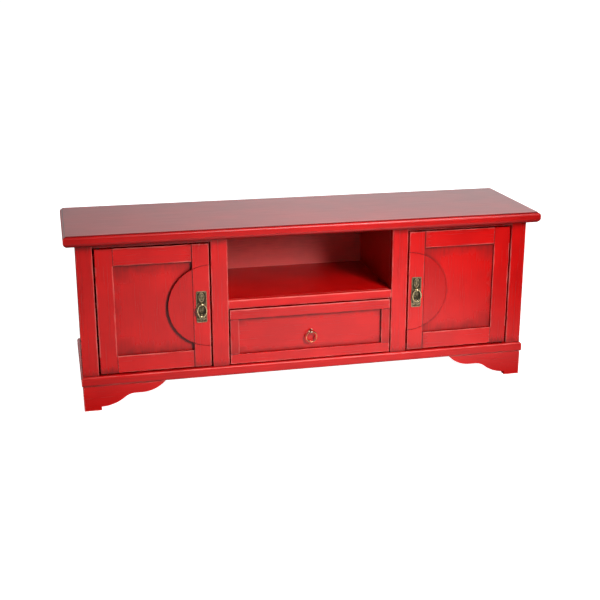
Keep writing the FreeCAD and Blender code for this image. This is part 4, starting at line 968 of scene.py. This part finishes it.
class STAND_OT_screws(Operator):
    """Drive the screws of the back panel, cleats, catches and strikes"""

    bl_idname = "stand.screws"
    bl_label = "Drive the screws"

    def execute(self, context):
        look = context.scene.stand_screw
        tree = self.screw_tree()
        zinc = mottled(SCREW_ZINC, context.scene.stand_metal)
        rows = {"case": self.back_screws(look) + self.catch_screws() + self.cleat_screws()}
        for side in SIDES:
            rows[f"{side}_door"] = self.strike_screws(side)
        for body, places in rows.items():
            start = bpy.data.meshes.new(f"{body}_screw_places")
            start.from_pydata([place for place, facing in places], [], [])
            facings = start.attributes.new("facing", "FLOAT_VECTOR", "POINT")
            facings.data.foreach_set("vector", [value for place, facing in places for value in facing])
            screws = grow(context, f"{body}_screws", tree, start, {
                "Head radius": look.head / 2,
                "Lift": look.lift,
                "Slot length": look.head * SLOT_SHARE,
                "Slot width": look.slot_width,
                "Slot depth": look.slot_depth,
                "Seed": look.seed,
                "Metal": zinc,
            })
            settle(screws, body)
        return {"FINISHED"}

    def back_screws(self, look):
        """Screws round the back panel's rim and down its two middle lines."""
        low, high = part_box("back_panel")
        left, right = low.x + look.back_inset, high.x - look.back_inset
        bottom, top = low.z + look.back_inset, high.z - look.back_inset
        count = round((right - left) / look.back_pitch)
        places = [(left + (right - left) * step / count, height)
                  for step in range(count + 1) for height in (bottom, top)]
        divider_low, divider_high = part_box("right_divider")
        middle = (divider_low.x + divider_high.x) / 2
        rise = (top - bottom) / 3
        places += [(x, bottom + rise * step) for x in (left, -middle, middle, right) for step in (1, 2)]
        return [((x, high.y, z), (0, 1, 0)) for x, z in places]

    def catch_screws(self):
        """Two screws through the ears of each catch."""
        low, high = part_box("door_catches")
        ear = 4 * MM
        ear_top = low.z + 3 * MM
        strike_low, strike_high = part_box("right_strike_plate")
        middle = (low.y + high.y) / 2
        return [((side * x, middle, ear_top), (0, 0, 1))
                for side in SIDES.values() for x in (strike_low.x + ear, strike_high.x - ear)]

    def cleat_screws(self):
        """Two screws through each shelf cleat, from inside the cupboards."""
        low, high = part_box("shelf_cleats")
        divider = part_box("right_divider")[1].x
        wide = 18 * MM
        inset = 40 * MM
        middle = (low.z + high.z) / 2
        faces = ((high.x - wide, -1), (divider + wide, 1))
        return [((side * x, y, middle), (side * way, 0, 0))
                for side in SIDES.values() for x, way in faces for y in (low.y + inset, high.y - inset)]

    def strike_screws(self, side):
        """Two screws through a door's strike plate."""
        low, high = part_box(f"{side}_strike_plate")
        inset = 7 * MM
        middle = (low.z + high.z) / 2
        return [((x, high.y, middle), (0, 1, 0)) for x in (low.x + inset, high.x - inset)]

    def screw_tree(self):
        """A pan head with a cross recess on each place, facing its own way and turned at random."""
        inputs = {"Geometry": ("Places",),
                  "Float": ("Head radius", "Lift", "Slot length", "Slot width", "Slot depth"),
                  "Int": ("Seed",), "Material": ("Metal",)}
        tree, given = new_group("screw_heads", "GeometryNodeTree", inputs, {"Geometry": ("Screws",)})
        crown = add(tree, MATH, {0: given["Head radius"], 1: CROWN_SHARE}, operation="MULTIPLY")
        head = add(tree, "GeometryNodeMeshCone",
                   {"Vertices": 20, "Radius Top": crown, "Radius Bottom": given["Head radius"],
                    "Depth": given["Lift"]})
        half_deep = add(tree, MATH, {0: given["Slot depth"], 1: RECESS_SHARE}, operation="MULTIPLY")
        at_top = add(tree, MATH, {0: given["Lift"], 1: half_deep}, operation="SUBTRACT")
        raised = add(tree, "ShaderNodeCombineXYZ", {"Z": at_top})
        for wide, long in (("Slot length", "Slot width"), ("Slot width", "Slot length")):
            size = add(tree, "ShaderNodeCombineXYZ",
                       {"X": given[wide], "Y": given[long], "Z": given["Slot depth"]})
            bar = add(tree, "GeometryNodeMeshCube", {"Size": size})
            placed = add(tree, "GeometryNodeTransform", {"Geometry": bar, "Translation": raised})
            recess = add(tree, "GeometryNodeMeshBoolean", {"Mesh 1": head, "Mesh 2": placed}, out=None,
                         operation="DIFFERENCE")
            head = recess.outputs["Mesh"]
        facing = add(tree, "GeometryNodeInputNamedAttribute", {"Name": "facing"}, data_type="FLOAT_VECTOR")
        outward = add(tree, "FunctionNodeAlignRotationToVector", {"Vector": facing}, axis="Z")
        chance = add(tree, "FunctionNodeRandomValue", {"Seed": given["Seed"]}, out=1, data_type="FLOAT")
        quarter = add(tree, MATH, {0: chance, 1: math.pi / 2}, operation="MULTIPLY")
        spin = add(tree, "FunctionNodeAxisAngleToRotation", {"Axis": (0, 0, 1), "Angle": quarter})
        turned = add(tree, "FunctionNodeRotateRotation", {"Rotation": outward, "Rotate By": spin},
                     rotation_space="LOCAL")
        row = add(tree, "GeometryNodeInstanceOnPoints", {"Points": given["Places"], "Instance": head,
                                                         "Rotation": turned})
        real = add(tree, "GeometryNodeRealizeInstances", {"Geometry": row})
        finished = add(tree, "GeometryNodeSetMaterial", {"Geometry": real, "Material": given["Metal"]})
        add(tree, "NodeGroupOutput", {"Screws": finished}, out=None)
        return tree


class LightPanel(NamedTuple):
    """A flat studio light: size and places in metres, spread in degrees, and whether gloss alone shows it."""

    name: str
    power: str
    size: tuple
    spread: float
    place: tuple
    aim: tuple
    glints: bool = False


PANELS = (
    LightPanel("soft_box", "key_power", (0.4, 1.3), 102, (0.83, -1.72, 1.28), (-0.52, -0.17, -0.6)),
    LightPanel("front_panel", "front_power", (2.5, 2), 180, (-2.2, -4.5, 1.6), (0, 0, 0.3)),
    LightPanel("left_rear_panel", "rear_power", (3, 1.2), 180, (-4, 4.5, 0.9), (0, 0, 0.3)),
    LightPanel("right_rear_panel", "rear_power", (3, 1.2), 180, (4, 4.5, 0.9), (0, 0, 0.3)),
    LightPanel("glint_panel", "glint_power", (1.6, 0.6), 180, (0.85, -2, 2.8), (0.2, 0, 0.4), True),
)


class Ramp(NamedTuple):
    """Where a light fades in along an axis: its start, the place where it is full, and its least share."""

    axis: str
    start: float
    full: float
    least: float = 0
    easing: str = "LINEAR"


# Edges of the lit paper on the floor, in metres
PAPER_EDGES = (Ramp("X", -1.05, 0.15), Ramp("X", 1.08, 0.6), Ramp("Y", -3.7, -1.1), Ramp("Y", -0.15, -0.45))
# Edges of the lit wall and of the ground, as parts of a direction
WALL_EDGES = (Ramp("Y", 0.1, 0.9, easing="SMOOTHSTEP"), Ramp("Z", 0.55, 0.3, easing="SMOOTHSTEP"),
              Ramp("X", 0, 0.22, 0.55))
GROUND_EDGES = (Ramp("Z", 0.02, -0.02),)


def fade_in(tree, strength, places, ramps):
    """A strength that is full only where every ramp is."""
    for ramp in ramps:
        share = add(tree, MAP_RANGE, {"Value": places[ramp.axis], "From Min": ramp.start,
                                      "From Max": ramp.full, "To Min": ramp.least},
                    interpolation_type=ramp.easing)
        strength = add(tree, MATH, {0: strength, 1: share}, operation="MULTIPLY")
    return strength


class STAND_OT_stage(Operator):
    """Lay the floor, hang the lights and place the camera"""

    bl_idname = "stand.stage"
    bl_label = "Set the stage"

    def execute(self, context):
        look = context.scene.stand_stage
        self.lay_floor(context, look)
        self.hang_lights(context, look)
        self.place_camera(context, look)
        context.scene.view_settings.view_transform = "Standard"
        return {"FINISHED"}

    def lay_floor(self, context, look):
        """A pale floor that glows a little, whose lit paper in front of the stand shows in the gloss."""
        mesh = bpy.data.meshes.new("studio_floor")
        half = look.floor_size / 2
        corners = [(x * half, y * half, 0) for x, y in ((-1, -1), (1, -1), (1, 1), (-1, 1))]
        mesh.from_pydata(corners, [], [(0, 1, 2, 3)])
        floor = bpy.data.objects.new("studio_floor", mesh)
        context.scene.collection.objects.link(floor)
        material, tree, surface = new_material("matt_white_floor")
        shader = add(tree, PRINCIPLED, {"Base Color": look.floor, "Roughness": 0.9,
                                        "Emission Color": look.floor, "Emission Strength": look.floor_glow})
        position = add(tree, COORDINATES, out="Object")
        places = add(tree, SPLIT, {0: position}, out=None).outputs
        lit = fade_in(tree, look.floor_sheen, places, PAPER_EDGES)
        mirrored = add(tree, "ShaderNodeEmission", {"Strength": lit})
        ray = add(tree, "ShaderNodeLightPath", out="Is Camera Ray")
        tree.links.new(add(tree, "ShaderNodeMixShader", {0: ray, 1: mirrored, 2: shader}), surface)
        mesh.materials.append(material)
        floor.visible_diffuse = False

    def hang_lights(self, context, look):
        """A lit wall in a dim room, a tall soft box at the front right, weak panels in front and behind, and
        a panel above that only gloss shows."""
        world = bpy.data.worlds.new("studio")
        world.use_nodes = True
        tree = world.node_tree
        tree.nodes.clear()
        way = add(tree, COORDINATES, out="Generated")
        parts = add(tree, SPLIT, {0: way}, out=None).outputs
        above = add(tree, MATH, {0: parts["Z"], 1: 0}, operation="GREATER_THAN")
        wall = fade_in(tree, look.wall, parts, WALL_EDGES)
        total = add(tree, MATH, {0: wall, 1: above}, operation="MULTIPLY")
        for light in (look.sky, fade_in(tree, look.ground, parts, GROUND_EDGES)):
            total = add(tree, MATH, {0: total, 1: light}, operation="ADD")
        lit, seen = (add(tree, "ShaderNodeBackground", {"Color": linear(WHITE), "Strength": strength})
                     for strength in (total, 1))
        ray = add(tree, "ShaderNodeLightPath", out="Is Camera Ray")
        mixed = add(tree, "ShaderNodeMixShader", {0: ray, 1: lit, 2: seen})
        add(tree, "ShaderNodeOutputWorld", {"Surface": mixed}, out=None)
        context.scene.world = world

        for panel in PANELS:
            light = bpy.data.lights.new(panel.name, "AREA")
            light.shape = "RECTANGLE"
            light.size, light.size_y = panel.size
            light.spread = math.radians(panel.spread)
            light.energy = getattr(look, panel.power)
            lamp = bpy.data.objects.new(panel.name, light)
            lamp.location = panel.place
            aim = Vector(panel.aim) - Vector(panel.place)
            lamp.rotation_euler = aim.to_track_quat("-Z", "Y").to_euler()
            lamp.visible_camera = False
            lamp.visible_diffuse = not panel.glints
            lamp.visible_glossy = panel.glints
            context.scene.collection.objects.link(lamp)

    def place_camera(self, context, look):
        """The camera at the photograph's angle."""
        ahead = Vector((math.sin(look.yaw) * math.cos(look.pitch), math.cos(look.yaw) * math.cos(look.pitch),
                        -math.sin(look.pitch)))
        level = Vector((math.cos(look.yaw), -math.sin(look.yaw), 0))
        upright = level.cross(ahead)
        right = level * math.cos(look.roll) + upright * math.sin(look.roll)
        up = upright * math.cos(look.roll) - level * math.sin(look.roll)
        data = bpy.data.cameras.new("photo_camera")
        data.sensor_width = SENSOR_MM
        data.lens = look.focal / FRAME_PIXELS * SENSOR_MM
        data.shift_x = 0.5 - look.centre_x / FRAME_PIXELS
        data.shift_y = look.centre_y / FRAME_PIXELS - 0.5
        data.clip_end = look.floor_size
        camera = bpy.data.objects.new("photo_camera", data)
        turn = Matrix((right, up, -ahead)).transposed().to_4x4()
        camera.matrix_world = Matrix.Translation(look.place) @ turn
        context.scene.collection.objects.link(camera)
        context.scene.camera = camera


class STAND_PT_steps(Panel):
    """The steps that finish the stand."""

    bl_idname = "STAND_PT_steps"
    bl_label = "TV Stand"
    bl_space_type = "VIEW_3D"
    bl_region_type = "UI"
    bl_category = "TV Stand"

    def draw(self, context):
        for step in STEPS:
            self.layout.operator(step.bl_idname)


STEPS = (STAND_OT_lacquer, STAND_OT_bare_wood, STAND_OT_fittings, STAND_OT_pull_plates, STAND_OT_screws,
         STAND_OT_stage)
LOOKS = {"stand_lacquer": StandLacquer, "stand_timber": StandTimber, "stand_metal": StandMetal,
         "stand_plate": StandPlate, "stand_screw": StandScrew, "stand_stage": StandStage}
CLASSES = (*LOOKS.values(), *STEPS, STAND_PT_steps)


def register():
    for item in CLASSES:
        bpy.utils.register_class(item)
    for name, group in LOOKS.items():
        setattr(bpy.types.Scene, name, PointerProperty(type=group))


def unregister():
    for name in LOOKS:
        delattr(bpy.types.Scene, name)
    for item in reversed(CLASSES):
        bpy.utils.unregister_class(item)


def main():
    register()
    for step in STEPS:
        space, name = step.bl_idname.split(".")
        getattr(getattr(bpy.ops, space), name)()


if __name__ == "__main__":
    main()
